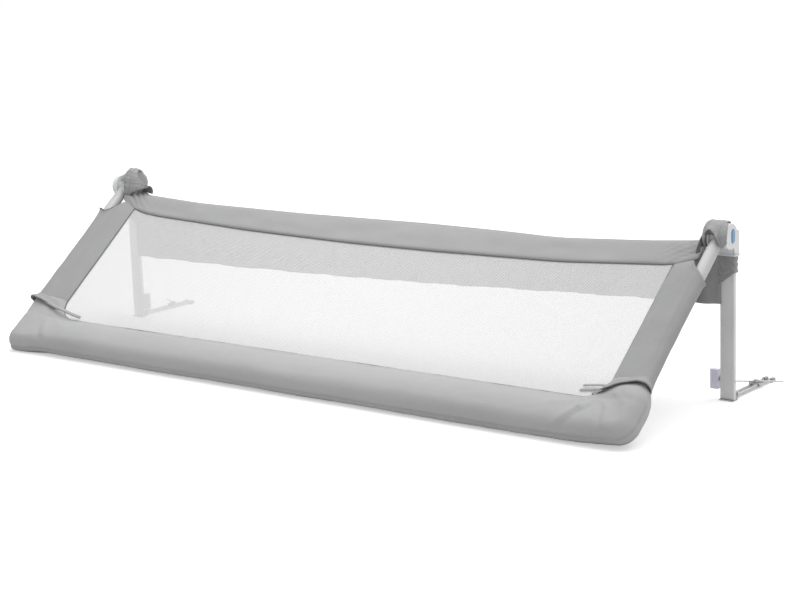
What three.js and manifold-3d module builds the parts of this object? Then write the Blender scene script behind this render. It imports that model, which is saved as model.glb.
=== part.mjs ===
// Folding bed guard rail: a fabric covered tube frame that swings on two posts with fold-away feet.
// X runs along the rail, Y towards the mattress and Z up. The origin is the middle of the footprint.
// The guard is folded forwards and down, so that its padded rail rests on the floor.

import * as THREE from 'three';
import { mergeVertices } from 'three/addons/utils/BufferGeometryUtils.js';
import Module from 'manifold-3d';

const wasm = await Module();
wasm.setup();

// Driving dimensions in millimetres
const postSpan = 1460;
const guardReach = 430;
const hingeHeight = 295;
const padRadius = 27;

// Fits shared by all pieces
const seat = 0.3;
const overrun = 6;
const weldDistance = 0.0001;

// Tube frame
const tubeRadius = 11.5;
const tubeWall = 1.5;
const bendRadius = 40;
const cornerStraight = 30;
const spigotLength = 40;
const spigotTaper = 4;
const spigotWall = 1.5;
const cornerBreak = 0.4;
const snapRadius = 3.5;
const snapFlange = 5;
const snapFlangeThickness = 1.6;
const snapInset = 0.3;

// Hub and arm of the hinge
const hubRadius = 17;
const hubHalfWidth = 11;
const neckRadius = 11;
const neckLength = 34;
const armSpigotLength = 38;
const axleRadius = 4;
const axleHeadRadius = 6.5;
const axleHeadThickness = 1.5;
const notchDepth = 4;

// Hinge housing on the post
const housingRadius = 23;
const housingBack = 29;
const housingSkirt = 37;
const cheekGap = 0.4;
const innerCheek = 3.6;
const outerCheek = 7.6;
const socketWall = 2.4;
const swingClearance = 0.7;
const flangeProud = 1.4;
const flangeHeight = 3;
const coverThickness = 2.4;
const coverBevel = 0.9;
const outlineStart = THREE.MathUtils.degToRad(24);
const outlineEnd = THREE.MathUtils.degToRad(292);

// Lock pawl and release button
const pawlHalfWidth = 5;
const pawlHalfHeight = 5;
const pawlLength = 5.4;
const pawlBack = 26.4;
const releaseTravel = 2.5;
const buttonHalfWidth = 5;
const buttonHalfHeight = 11.5;
const buttonSetback = 6;
const buttonProud = 1.4;
const buttonFloor = 2.1;
const tongueThickness = 1.6;
const tongueHalfHeight = 3;
const wedgeInset = 3.9;
const springRadius = 1.9;
const springWire = 0.35;
const springBore = 2.6;
const springTurns = 3;

// Post
const postWidth = 28;
const postDepth = 8;
const postSetback = 20;
const postEdge = 2;
const postDrop = 20;
const postOutset = 5;
const screwRadius = 2;
const screwHeadRadius = 3.8;
const screwHeadThickness = 2;
const screwDrop = 28;

// Foot bracket, pin and fork
const bracketWall = 2.5;
const heelLength = 4;
const footPinHeight = 10;
const footPinSetback = 31;
const footPinRadius = 2.8;
const pinHeadRadius = 4.4;
const pinHeadThickness = 1.4;
const bracketRound = 6.5;
const sleeveRadius = 6;
const rodRadius = 2.75;
const rodSpacing = 14;
const rodHeight = 4;
const footLength = 150;
const capLength = 12;
const capHalfWidth = 3.8;
const capHeight = 7.6;
const clampPlace = 95;
const clampThickness = 2.5;
const clampHalfLength = 8;
const clampLip = 1.6;
const studRadius = 2.5;
const studHeadRadius = 4.4;
const studHeadThickness = 1.3;

// Cross wire
const wireRadius = 1.4;
const wireLength = 96;
const wireEyeRadius = 5.6;
const wireEyeThickness = 3;
const wireTurn = THREE.MathUtils.degToRad(28);

// Ribbed catch at the foot of the post
const catchWidth = 17;
const catchDepth = 11;
const catchBottom = 19;
const catchHeight = 35;
const catchTravel = 3;
const catchRound = 3;
const catchRibs = 4;
const catchGroove = 0.9;
const stemRadius = 2;
const catchSpringBore = 4.4;
const catchSpringRadius = 3.2;
const catchSpringLength = 5.6;
const stemHeadRadius = 3.4;
const stemHeadLength = 2.2;

// Fabric cover
const sideSleeveRadius = 16;
const sleeveWidth = 57;
const seamHalf = 2.4;
const windowCorner = 45;
const cuffOuter = 104;
const cuffInner = 70;
const hemThickness = 5;
const hemProud = 1.6;
const tabLength = 34;
const tabWidth = 3.8;
const tabSpread = 3;
const tabThickness = 1.2;
const bandInner = 18;
const bandSag = 12;
const bandBow = 22;
const bandHalf = 2;
const gatherLength = 70;
const gatherHeight = 1.6;

// Net window
const netHalf = 0.6;
const netColumns = 18;
const netRows = 4;
const netStrand = 2.4;
const netMargin = 5;

// Skirt, post loops and hinge hoods
const skirtHalf = 0.8;
const skirtDepth = 8;
const skirtTop = 6;
const skirtDrop = 132;
const skirtFold = 2.6;
const skirtFolds = 8;
const skirtShoulderLength = 34;
const loopWall = 2.2;
const loopTop = 42;
const loopBottom = 84;
const loopSlant = 12;
const hoodWall = 2;
const hoodRim = 7.6;
const hoodBackHalf = 11;

// Places that follow from the sizes above
const halfSpan = postSpan / 2;
const restAngle = Math.acos((padRadius - hingeHeight) / guardReach);
const tubeBore = tubeRadius - tubeWall;
const spigotRadius = tubeBore - seat;
const spigotBore = spigotRadius - spigotWall;
const cornerStart = guardReach - bendRadius - cornerStraight;
const armSpan = halfSpan - postOutset;
const railEnd = armSpan - bendRadius - cornerStraight;
const snapPlace = spigotLength / 2;
const seamReach = guardReach - sleeveWidth;
const hemPlace = seamReach - windowCorner;
const seamSpan = armSpan - sleeveWidth;
const postFront = postSetback - postDepth / 2;
const postBack = postSetback + postDepth / 2;
const postHalf = postWidth / 2;
const cheekInside = hubHalfWidth + cheekGap;
const innerFace = -cheekInside - innerCheek;
const outerFace = cheekInside + outerCheek;
const coverFace = outerFace + seat + coverThickness;
const hoodFace = innerFace - axleHeadThickness - 2 * seat - hoodWall;
const hubClearance = hubRadius + swingClearance;
const socketFront = postFront - seat - socketWall;
const footRodHeight = rodHeight + rodRadius;

const fabric = { color: 0x9b9b9e, roughness: 0.92, metalness: 0 };
const shadedFabric = { color: 0x88888c, roughness: 0.94, metalness: 0 };
const netting = { color: 0xf6f6f6, roughness: 0.9, metalness: 0 };
const whitePaint = { color: 0xefefef, roughness: 0.35, metalness: 0 };
const whitePlastic = { color: 0xf3f3f2, roughness: 0.45, metalness: 0 };
const bluePlastic = { color: 0x3fa4d6, roughness: 0.4, metalness: 0 };
const lavenderPlastic = { color: 0xb9bbe8, roughness: 0.3, metalness: 0 };
const greyPlastic = { color: 0x6c6c70, roughness: 0.6, metalness: 0 };
const brightSteel = { color: 0xb9bbbf, roughness: 0.3, metalness: 0.9 };

// A closed mesh as a solid, with its shared corners merged and its faces turned outwards
function solid(geometry) {
  geometry.deleteAttribute('normal');
  geometry.deleteAttribute('uv');
  const merged = mergeVertices(geometry, weldDistance);
  const places = merged.attributes.position.array;
  const corners = [];
  for (let i = 0; i < merged.index.count; i += 3) {
    const [a, b, c] = [merged.index.getX(i), merged.index.getX(i + 1), merged.index.getX(i + 2)];
    if (a !== b && b !== c && c !== a) corners.push(a, b, c);
  }
  if (signedVolume(places, corners) < 0) corners.reverse();
  return new wasm.Manifold(new wasm.Mesh({
    numProp: 3,
    vertProperties: new Float32Array(places),
    triVerts: new Uint32Array(corners),
  }));
}

function signedVolume(places, corners) {
  const [a, b, c] = [new THREE.Vector3(), new THREE.Vector3(), new THREE.Vector3()];
  let sum = 0;
  for (let i = 0; i < corners.length; i += 3) {
    a.fromArray(places, corners[i] * 3);
    b.fromArray(places, corners[i + 1] * 3);
    c.fromArray(places, corners[i + 2] * 3);
    sum += a.dot(b.cross(c));
  }
  return sum;
}

function geometryOf(piece) {
  const { numProp, vertProperties, triVerts } = piece.getMesh();
  const places = new Float32Array(vertProperties.length / numProp * 3);
  for (let i = 0; i < places.length / 3; i += 1) {
    for (let k = 0; k < 3; k += 1) places[i * 3 + k] = vertProperties[i * numProp + k];
  }
  const geometry = new THREE.BufferGeometry();
  geometry.setAttribute('position', new THREE.BufferAttribute(places, 3));
  geometry.setIndex(new THREE.BufferAttribute(new Uint32Array(triVerts), 1));
  return geometry;
}

// The same solid moved by a matrix; a mirror image gets its faces turned outwards again
function transformed(piece, matrix) {
  return solid(geometryOf(piece).applyMatrix4(matrix));
}

function turned(piece, angle) {
  return transformed(piece, new THREE.Matrix4().makeRotationZ(angle));
}

function shifted(piece, x, y, z) {
  return transformed(piece, new THREE.Matrix4().makeTranslation(x, y, z));
}

// Outlines in a plane
function circlePoints(radius, sides, x = 0, y = 0) {
  const points = [];
  for (let i = 0; i < sides; i += 1) {
    const angle = (i + 0.5) / sides * 2 * Math.PI;
    points.push(new THREE.Vector2(x + radius * Math.cos(angle), y + radius * Math.sin(angle)));
  }
  return points;
}

function roundedBox(left, right, low, high, radius) {
  const shape = new THREE.Shape();
  shape.moveTo(left + radius, low);
  shape.lineTo(right - radius, low);
  shape.absarc(right - radius, low + radius, radius, -Math.PI / 2, 0);
  shape.lineTo(right, high - radius);
  shape.absarc(right - radius, high - radius, radius, 0, Math.PI / 2);
  shape.lineTo(left + radius, high);
  shape.absarc(left + radius, high - radius, radius, Math.PI / 2, Math.PI);
  shape.lineTo(left, low + radius);
  shape.absarc(left + radius, low + radius, radius, Math.PI, 1.5 * Math.PI);
  return shape;
}

function polygon(points) {
  return new THREE.Shape(points.map(([x, y]) => new THREE.Vector2(x, y)));
}

// Turns local Z into the named axis: the outline is drawn in (y, z), (x, z) or (x, y)
const unitX = new THREE.Vector3(1, 0, 0);
const unitY = new THREE.Vector3(0, 1, 0);
const unitZ = new THREE.Vector3(0, 0, 1);
const extrusionAxes = {
  x: new THREE.Matrix4().makeBasis(unitY, unitZ, unitX),
  y: new THREE.Matrix4().makeBasis(unitX, unitZ, unitY.clone().negate()),
  z: new THREE.Matrix4(),
};
const turningAxes = {
  x: new THREE.Matrix4().makeBasis(unitY, unitX, unitZ.clone().negate()),
  y: new THREE.Matrix4(),
  z: new THREE.Matrix4().makeBasis(unitX, unitZ, unitY.clone().negate()),
};

function prism(axis, shape, from, to, curveSegments = 3) {
  const settings = { depth: to - from, bevelEnabled: false, curveSegments };
  const geometry = new THREE.ExtrudeGeometry(shape, settings);
  geometry.translate(0, 0, axis === 'y' ? -to : from);
  return solid(geometry.applyMatrix4(extrusionAxes[axis]));
}

function box(x0, x1, y0, y1, z0, z1) {
  return prism('z', polygon([[x0, y0], [x1, y0], [x1, y1], [x0, y1]]), z0, z1);
}

function rod(axis, radius, from, to, a = 0, b = 0, sides = 16) {
  return prism(axis, new THREE.Shape(circlePoints(radius, sides, a, b)), from, to);
}

function lathe(axis, profile, sides = 16) {
  const points = profile.map(([radius, along]) => new THREE.Vector2(radius, along));
  return solid(new THREE.LatheGeometry(points, sides).applyMatrix4(turningAxes[axis]));
}

// A solid through a row of closed rings of points, with a fan of faces on each end
function loft(rings) {
  const count = rings[0].length;
  const places = rings.flat().flatMap((p) => [p.x, p.y, p.z]);
  const index = [];
  for (let i = 0; i < rings.length - 1; i += 1) {
    for (let k = 0; k < count; k += 1) {
      const [a, b] = [i * count + k, i * count + (k + 1) % count];
      index.push(a, b, b + count, a, b + count, a + count);
    }
  }
  const last = (rings.length - 1) * count;
  for (const [start, flip] of [[0, true], [last, false]]) {
    const middle = rings[start / count].reduce((sum, p) => sum.add(p), new THREE.Vector3());
    middle.divideScalar(count);
    const hub = places.length / 3;
    places.push(middle.x, middle.y, middle.z);
    for (let k = 0; k < count; k += 1) {
      const pair = [start + k, start + (k + 1) % count];
      if (flip) pair.reverse();
      index.push(hub, ...pair);
    }
  }
  const geometry = new THREE.BufferGeometry();
  geometry.setAttribute('position', new THREE.Float32BufferAttribute(places, 3));
  geometry.setIndex(index);
  return solid(geometry);
}

class CoilCurve extends THREE.Curve {
  constructor(radius, length, turns) {
    super();
    Object.assign(this, { radius, length, turns });
  }

  getPoint(t, target = new THREE.Vector3()) {
    const angle = 2 * Math.PI * this.turns * t;
    return target.set(this.radius * Math.cos(angle), this.radius * Math.sin(angle), this.length * t);
  }
}

// A coil spring that stands on z = 0; its wire is the given radius
function coil(radius, wire, length, turns) {
  const curve = new CoilCurve(radius, length - 2 * wire, turns);
  const section = new THREE.Shape(circlePoints(wire, 4));
  const settings = { steps: turns * 6, bevelEnabled: false, extrudePath: curve };
  return solid(new THREE.ExtrudeGeometry(section, settings).translate(0, 0, wire));
}

// The frame's pieces, drawn upright at the right end, with u measured outwards from the post's middle
function hubArm() {
  const notchShape = polygon([
    [hubRadius - notchDepth, -pawlHalfHeight - seat],
    [hubRadius + overrun, -pawlHalfHeight - seat],
    [hubRadius + overrun, pawlHalfHeight + seat],
    [hubRadius - notchDepth, pawlHalfHeight + seat],
  ]);
  const disc = rod('x', hubRadius, -hubHalfWidth, hubHalfWidth, 0, 0, 28);
  const neck = rod('z', neckRadius, 0, neckLength, 0, 0, 16);
  const plug = lathe('z', [
    [0, neckLength - spigotTaper],
    [spigotRadius, neckLength - spigotTaper],
    [spigotRadius, neckLength + armSpigotLength - spigotTaper],
    [spigotRadius - spigotWall, neckLength + armSpigotLength],
    [0, neckLength + armSpigotLength],
  ], 16);
  const notch = prism('x', notchShape, -pawlHalfWidth - seat, hubHalfWidth + overrun);
  const bore = rod('x', axleRadius + seat, -hubHalfWidth - overrun, hubHalfWidth + overrun);
  return disc.add(neck).add(plug).subtract(notch).subtract(bore);
}

function snapHole(place) {
  return rod('y', snapRadius + seat, 0, tubeRadius + overrun, 0, place, 12);
}

function sideTube() {
  const wall = rod('z', tubeRadius, neckLength + seat, cornerStart - seat, 0, 0, 16);
  const bore = rod('z', tubeBore, neckLength, cornerStart, 0, 0, 16);
  return wall.subtract(bore).subtract(snapHole(cornerStart - snapPlace));
}

// A round bar round the tube's corner: each end is a list of radii and distances from the bend
function bentBar(radius, downEnd, leftEnd) {
  const bendSteps = 6;
  const turn = guardReach - bendRadius;
  const ringAt = (x, z, angle, size) => circlePoints(size, 16).map((p) => new THREE.Vector3(
    x + p.x * Math.cos(angle), p.y, z + p.x * Math.sin(angle)));
  const rings = [...downEnd].reverse().map(([size, away]) => ringAt(0, turn - away, 0, size));
  for (let i = 0; i <= bendSteps; i += 1) {
    const angle = i / bendSteps * Math.PI / 2;
    const [x, z] = [bendRadius * (Math.cos(angle) - 1), turn + bendRadius * Math.sin(angle)];
    rings.push(ringAt(x, z, angle, radius));
  }
  const across = leftEnd.map(([size, away]) => ringAt(-bendRadius - away, guardReach, Math.PI / 2, size));
  return loft([...rings, ...across]);
}

// Both ends of the corner tube are drawn down to spigots that fit inside the straight tubes
function cornerTube() {
  const spigotEnd = cornerStraight + spigotLength;
  const outer = [[tubeRadius, cornerStraight], [spigotRadius, cornerStraight], [spigotRadius, spigotEnd]];
  const inner = [
    [tubeBore, cornerStraight - spigotTaper],
    [spigotBore, cornerStraight],
    [spigotBore, spigotEnd + overrun],
  ];
  const railHole = shifted(snapHole(guardReach), -bendRadius - cornerStraight - snapPlace, 0, 0);
  return bentBar(tubeRadius, outer, outer).subtract(bentBar(tubeBore, inner, inner))
    .subtract(snapHole(cornerStart - snapPlace)).subtract(railHole);
}

function railTube() {
  const wall = rod('x', tubeRadius, -railEnd + seat, railEnd - seat, 0, guardReach, 16);
  const bore = rod('x', tubeBore, -railEnd, railEnd, 0, guardReach, 16);
  const hole = snapHole(guardReach);
  const inset = railEnd - snapPlace;
  return wall.subtract(bore).subtract(shifted(hole, inset, 0, 0)).subtract(shifted(hole, -inset, 0, 0));
}

function snapButton() {
  const flangeTop = Math.sqrt(spigotBore ** 2 - snapFlange ** 2) - seat;
  const top = tubeRadius - snapInset;
  return lathe('y', [
    [0, flangeTop - snapFlangeThickness],
    [snapFlange, flangeTop - snapFlangeThickness],
    [snapFlange, flangeTop],
    [snapRadius, flangeTop],
    [snapRadius, top - cornerBreak],
    [snapRadius - cornerBreak, top],
    [0, top],
  ], 12);
}

// Hinge, post and lock, drawn with the hinge axis on x and z measured up from that axis
function housingOutline(low) {
  const shape = new THREE.Shape();
  shape.moveTo(housingBack, low);
  shape.lineTo(housingBack, pawlHalfHeight + socketWall);
  shape.absarc(0, 0, housingRadius, outlineStart, outlineEnd);
  shape.lineTo(socketFront, -housingSkirt + 2 * flangeHeight);
  shape.lineTo(socketFront, low);
  return shape;
}

function pawlPocket(inner, outer) {
  return box(inner, outer, hubRadius - notchDepth, pawlBack, -pawlHalfHeight - seat, pawlHalfHeight + seat);
}

function ovalOutline(grow) {
  const halfWidth = buttonHalfWidth + grow;
  const halfHeight = buttonHalfHeight + grow;
  const [front, back] = [buttonSetback - halfWidth, buttonSetback + halfWidth];
  return roundedBox(front, back, -halfHeight, halfHeight, halfWidth);
}

function hingeHousing() {
  const body = prism('x', housingOutline(-housingSkirt), innerFace, outerFace, 6);
  const flangeFront = socketFront - flangeProud;
  const flangeShape = roundedBox(
    innerFace - flangeProud, coverFace + flangeProud, flangeFront, housingBack + flangeProud, postEdge);
  const flange = prism('z', flangeShape, -housingSkirt, -housingSkirt + flangeHeight);
  return body.add(flange).subtract(armRoom()).subtract(postRoom())
    .subtract(lockRoom()).subtract(screwRoom());
}

// Room for the hub between the cheeks, and for the arm in front of it
function armRoom() {
  const front = -housingRadius - overrun;
  const frontLimit = tubeRadius + swingClearance;
  return rod('x', hubClearance, -cheekInside, cheekInside, 0, 0, 28)
    .add(box(-cheekInside, cheekInside, front, frontLimit, -housingSkirt, housingRadius + overrun));
}

// The post's socket is open on the outer side, where the cover closes it
function postRoom() {
  const half = postHalf + seat;
  const [inner, outer] = [postOutset - half, postOutset + half];
  const [low, high] = [-housingSkirt - overrun, -postDrop + seat];
  return box(inner, outer, postFront - seat, postBack + seat, low, high);
}

function lockRoom() {
  const [floor, outside] = [cheekInside + buttonFloor, outerFace + overrun];
  const tongueHalf = tongueHalfHeight + seat;
  return prism('x', ovalOutline(seat), floor, outside, 3)
    .add(box(floor, outside, buttonSetback, pawlBack, -tongueHalf, tongueHalf))
    .add(pawlPocket(-pawlHalfWidth - seat, outside))
    .add(rod('x', axleRadius + seat, innerFace - overrun, floor - seat));
}

function screwRoom() {
  const [headRoom, behind] = [housingBack - screwHeadThickness - seat, housingBack + overrun];
  return rod('y', screwRadius + seat, postBack, behind, postOutset, -screwDrop, 12)
    .add(rod('y', screwHeadRadius + seat, headRoom, behind, postOutset, -screwDrop, 12));
}

function housingCover() {
  const shape = housingOutline(-housingSkirt + flangeHeight + seat);
  shape.holes.push(new THREE.Path(ovalOutline(seat).getPoints(3).reverse()));
  return solid(new THREE.ExtrudeGeometry(shape, {
    depth: coverThickness - 2 * coverBevel,
    bevelThickness: coverBevel,
    bevelSize: coverBevel,
    bevelOffset: -coverBevel,
    bevelSegments: 1,
    curveSegments: 6,
  }).translate(0, 0, outerFace + seat + coverBevel).applyMatrix4(extrusionAxes.x));
}

function hingeAxle() {
  return lathe('x', [
    [0, innerFace - seat - axleHeadThickness],
    [axleHeadRadius - cornerBreak, innerFace - seat - axleHeadThickness],
    [axleHeadRadius, innerFace - seat - cornerBreak],
    [axleHeadRadius, innerFace - seat],
    [axleRadius, innerFace - seat],
    [axleRadius, cheekInside + buttonFloor - 2 * seat],
    [0, cheekInside + buttonFloor - 2 * seat],
  ], 16);
}

// The sloped faces of the pawl and the button's wedge lie on y = x + wedgeOffset
const pawlFront = hubRadius + swingClearance + seat;
const buttonBack = cheekInside + buttonFloor + releaseTravel + 2 * seat;
const buttonThickness = coverFace + buttonProud - buttonBack;
const wedgeOffset = pawlFront + pawlLength / 2 - buttonBack + wedgeInset / 2;

function slopeSide(offset, deep) {
  const far = 4 * pawlBack;
  const points = deep
    ? [[-far, -far + offset], [far, far + offset], [-far, far + offset]]
    : [[-far, -far + offset], [far, -far + offset], [far, far + offset]];
  return prism('z', polygon(points), -pawlBack, pawlBack);
}

function lockPawl() {
  const block = box(
    -pawlHalfWidth, buttonBack - seat, pawlFront, pawlFront + pawlLength, -pawlHalfHeight, pawlHalfHeight);
  const holeFloor = pawlFront + pawlLength / 3;
  const springHole = rod('y', springBore, holeFloor, pawlFront + pawlLength + overrun, 0, 0, 12);
  return block.subtract(springHole).intersect(slopeSide(wedgeOffset + seat, true));
}

function pawlSpring() {
  const reach = pawlBack - seat - (pawlFront + pawlLength / 3) - releaseTravel - seat;
  const spring = coil(springRadius, springWire, reach, springTurns);
  const place = new THREE.Matrix4().makeRotationX(Math.PI / 2).setPosition(0, pawlBack - seat, 0);
  return transformed(spring, place);
}

function releaseButton() {
  const cap = prism('x', ovalOutline(0), buttonBack, buttonBack + buttonThickness - cornerBreak, 3);
  const crown = prism('x', ovalOutline(-cornerBreak), buttonBack, buttonBack + buttonThickness, 3);
  const tongueFace = buttonBack + tongueThickness;
  const tongueEnd = tongueFace + wedgeOffset;
  const tongue = box(
    buttonBack, tongueFace, buttonSetback, tongueEnd, -tongueHalfHeight, tongueHalfHeight);
  const nose = box(
    buttonBack - wedgeInset + seat, tongueFace, hubClearance + seat, tongueEnd,
    -tongueHalfHeight, tongueHalfHeight);
  const blade = tongue.add(nose).intersect(slopeSide(wedgeOffset, false));
  const holeFloor = buttonBack + buttonThickness / 2;
  const springHole = rod('x', springBore, buttonBack - overrun, holeFloor, buttonSetback, 0, 12);
  return cap.add(crown).add(blade).subtract(springHole);
}

function buttonSpring() {
  const floor = cheekInside + buttonFloor + seat;
  const reach = buttonBack + buttonThickness / 2 - releaseTravel - seat - floor;
  const spring = coil(springRadius, springWire, reach, springTurns);
  const place = new THREE.Matrix4().makeRotationY(Math.PI / 2).setPosition(floor, buttonSetback, 0);
  return transformed(spring, place);
}

function housingScrew() {
  return shifted(lathe('y', [
    [0, postFront + postEdge],
    [screwRadius - cornerBreak, postFront + postEdge],
    [screwRadius, postFront + postEdge + cornerBreak],
    [screwRadius, housingBack - screwHeadThickness],
    [screwHeadRadius, housingBack - screwHeadThickness],
    [screwHeadRadius - cornerBreak, housingBack],
    [0, housingBack],
  ], 12), 0, 0, -screwDrop);
}

// Post and foot, drawn with z measured up from the floor
const postBottom = bracketWall + seat;
const catchMiddle = catchBottom + catchHeight / 2;
const bracketHalf = postHalf - bracketWall;

function postBar() {
  const outline = roundedBox(-postHalf, postHalf, postFront, postBack, postEdge);
  const bar = prism('z', outline, postBottom, hingeHeight - postDrop, 2);
  const stemBore = rod('x', stemRadius + seat, -postWidth, postWidth, postSetback, catchMiddle, 12);
  const [front, back] = [postFront - overrun, postBack + overrun];
  const screwBore = rod('y', screwRadius + seat, front, back, 0, hingeHeight - screwDrop, 12);
  return bar.subtract(stemBore).subtract(screwBore);
}

// A heel plate under the post, with two cheeks behind it for the pin
function footBracket() {
  const front = postFront - heelLength;
  const cheekStart = postBack + seat;
  const side = new THREE.Shape();
  side.moveTo(front, 0);
  side.lineTo(footPinSetback - bracketRound / 2, 0);
  side.lineTo(footPinSetback + bracketRound, footPinHeight - bracketRound / 2);
  side.absarc(footPinSetback, footPinHeight, bracketRound, 0, Math.PI / 2);
  side.lineTo(cheekStart, footPinHeight + bracketRound);
  side.lineTo(cheekStart, bracketWall);
  side.lineTo(front, bracketWall);
  const cheeks = prism('x', side, -postHalf, postHalf, 3);
  const [back, top] = [footPinSetback + 2 * bracketRound, footPinHeight + 2 * bracketRound];
  const plateEnd = postBack - bracketWall;
  const inside = box(-bracketHalf, bracketHalf, plateEnd, back, -overrun, top);
  const pinBore = rod('x', footPinRadius + seat, -postWidth, postWidth, footPinSetback, footPinHeight, 16);
  return cheeks.subtract(inside).subtract(pinBore);
}

function footPin() {
  const face = postHalf + seat;
  return shifted(lathe('x', [
    [0, -face - pinHeadThickness],
    [pinHeadRadius - cornerBreak, -face - pinHeadThickness],
    [pinHeadRadius, -face],
    [footPinRadius, -face],
    [footPinRadius, face],
    [pinHeadRadius, face],
    [pinHeadRadius - cornerBreak, face + pinHeadThickness],
    [0, face + pinHeadThickness],
  ], 16), 0, footPinSetback, footPinHeight);
}

const rodEnd = footPinSetback + footLength - capLength / 2;
const sleeveHalf = bracketHalf - seat;

function footFork() {
  const pivotSleeve = rod('x', sleeveRadius, -sleeveHalf, sleeveHalf, footPinSetback, footPinHeight, 16);
  const bore = rod('x', footPinRadius + seat, -postWidth, postWidth, footPinSetback, footPinHeight, 16);
  let fork = pivotSleeve;
  for (const side of [-1, 1]) {
    fork = fork.add(rod('y', rodRadius, footPinSetback, rodEnd, side * rodSpacing / 2, rodHeight, 10));
  }
  return fork.subtract(bore);
}

function rodCap(side) {
  const middle = side * rodSpacing / 2;
  const end = footPinSetback + footLength;
  const start = end - capLength;
  const outline = roundedBox(middle - capHalfWidth, middle + capHalfWidth, 0, capHeight, postEdge);
  const socket = rod('y', rodRadius + seat, start - overrun, rodEnd + seat, middle, rodHeight, 10);
  return prism('y', outline, start, end, 2).subtract(socket);
}

const clampTop = footRodHeight + seat + clampThickness;
const clampY = footPinSetback + clampPlace;
const studTop = clampTop + seat + wireEyeThickness + seat;

function rodClamp() {
  const half = rodSpacing / 2 + rodRadius + seat + clampLip;
  const inside = half - clampLip;
  const outline = roundedBox(-half, half, clampY - clampHalfLength, clampY + clampHalfLength, postEdge);
  const plate = prism('z', outline, rodHeight, clampTop, 2);
  const reach = 2 * clampHalfLength;
  const under = box(-inside, inside, clampY - reach, clampY + reach, 0, footRodHeight + seat);
  const stud = lathe('z', [
    [0, clampTop - cornerBreak],
    [studRadius, clampTop - cornerBreak],
    [studRadius, studTop],
    [studHeadRadius, studTop],
    [studHeadRadius - cornerBreak, studTop + studHeadThickness],
    [0, studTop + studHeadThickness],
  ], 12);
  return plate.subtract(under).add(shifted(stud, 0, clampY, 0));
}

// The wire lies turned from the rail's line towards the back, on the side away from the guard's middle
function crossWire() {
  const low = clampTop + seat;
  const middle = low + wireEyeThickness / 2;
  const eye = rod('z', wireEyeRadius, low, low + wireEyeThickness, 0, 0, 16);
  const bar = rod('x', wireRadius, -wireLength / 2, wireLength / 2, 0, middle, 8);
  const bore = rod('z', studRadius + seat, low - overrun, low + wireEyeThickness + overrun, 0, 0, 12);
  return shifted(turned(eye.add(bar).subtract(bore), wireTurn), 0, clampY, 0);
}

const catchFace = -postHalf - catchTravel - seat;

function catchOutline() {
  const front = postSetback - catchDepth / 2;
  const back = postSetback + catchDepth / 2;
  const pitch = (catchWidth - 2 * catchRound) / catchRibs;
  const left = catchFace - catchWidth;
  const points = [[catchFace, back], [catchFace, front]];
  for (let i = 0; i < catchRibs; i += 1) {
    const start = catchFace - catchRound / 2 - i * pitch;
    points.push([start, front], [start - pitch / 4, front + catchGroove]);
    points.push([start - pitch / 2, front + catchGroove], [start - 3 * pitch / 4, front]);
  }
  points.push([left + catchRound, front], [left, front + catchRound]);
  points.push([left, back - catchRound], [left + catchRound, back]);
  return polygon(points);
}

// The stem runs through the post and ends in a barbed head that keeps it there
function footCatch() {
  const block = prism('z', catchOutline(), catchBottom, catchBottom + catchHeight);
  const springEnd = catchFace - catchSpringLength;
  const springHole = rod('x', catchSpringBore, springEnd, catchFace + overrun, postSetback, catchMiddle);
  const head = postHalf + seat;
  const stem = shifted(lathe('x', [
    [0, springEnd - cornerBreak],
    [stemRadius, springEnd - cornerBreak],
    [stemRadius, head],
    [stemHeadRadius, head],
    [stemRadius, head + stemHeadLength],
    [0, head + stemHeadLength],
  ], 12), 0, postSetback, catchMiddle);
  return block.subtract(springHole).add(stem);
}

function catchSpring() {
  const reach = catchSpringLength - seat;
  const spring = coil(catchSpringRadius, springWire, reach, springTurns);
  const place = new THREE.Matrix4().makeRotationY(-Math.PI / 2);
  place.setPosition(-postHalf - seat, postSetback, catchMiddle);
  return transformed(spring, place);
}

// Fabric: each ring runs round the tube on its outer side and draws in to the window's seam
const floorShare = 2 * restAngle / Math.PI - 2;
const roundShares = [-1, floorShare, floorShare / 2, 0, 0.36, 0.72, 1];
const drawnInShares = [[0.3, 0.86], [0.62, 0.5]];
const padRiseShare = 0.4;

function sleeveRing(core, seam, radius) {
  const inPlane = core.clone().sub(seam);
  const width = inPlane.length();
  inPlane.normalize();
  const at = (along, out) => core.clone().addScaledVector(inPlane, along).addScaledVector(unitY, out);
  const ring = roundShares.map((share) => at(
    radius * Math.cos(share * Math.PI / 2), radius * Math.sin(share * Math.PI / 2)));
  for (const [place, thick] of drawnInShares) {
    ring.push(at(-width * place, Math.max(radius * thick, seamHalf)));
  }
  ring.push(at(-width, seamHalf), at(-width, -seamHalf));
  for (const [place, thick] of [...drawnInShares].reverse()) {
    ring.push(at(-width * place, -Math.max(radius * thick, seamHalf)));
  }
  return ring;
}

function tubeCavity(from, to) {
  return rod('z', tubeRadius + seat, from - overrun, to + overrun, 0, 0, 16);
}

function sideSleeve() {
  const end = hemPlace - hemThickness - seat;
  const seamAt = (reach) => new THREE.Vector3(-sleeveWidth, 0, reach);
  const coreAt = (reach) => new THREE.Vector3(0, 0, reach);
  const outerShare = sideSleeveRadius / sleeveWidth;
  const cuffMiddle = (cuffOuter + cuffInner * outerShare) / (1 + outerShare);
  const slim = sideSleeveRadius - seamHalf / 2;
  const [upper, lower] = [cuffOuter + sleeveWidth, end - sleeveWidth];
  const rings = [
    sleeveRing(coreAt(cuffMiddle), seamAt(cuffInner + seat), sideSleeveRadius),
    sleeveRing(coreAt(upper), seamAt(upper), slim),
    sleeveRing(coreAt(lower), seamAt(lower), slim),
    sleeveRing(coreAt(end), seamAt(end), sideSleeveRadius),
  ];
  return loft(rings).subtract(tubeCavity(cuffInner, end));
}

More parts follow.
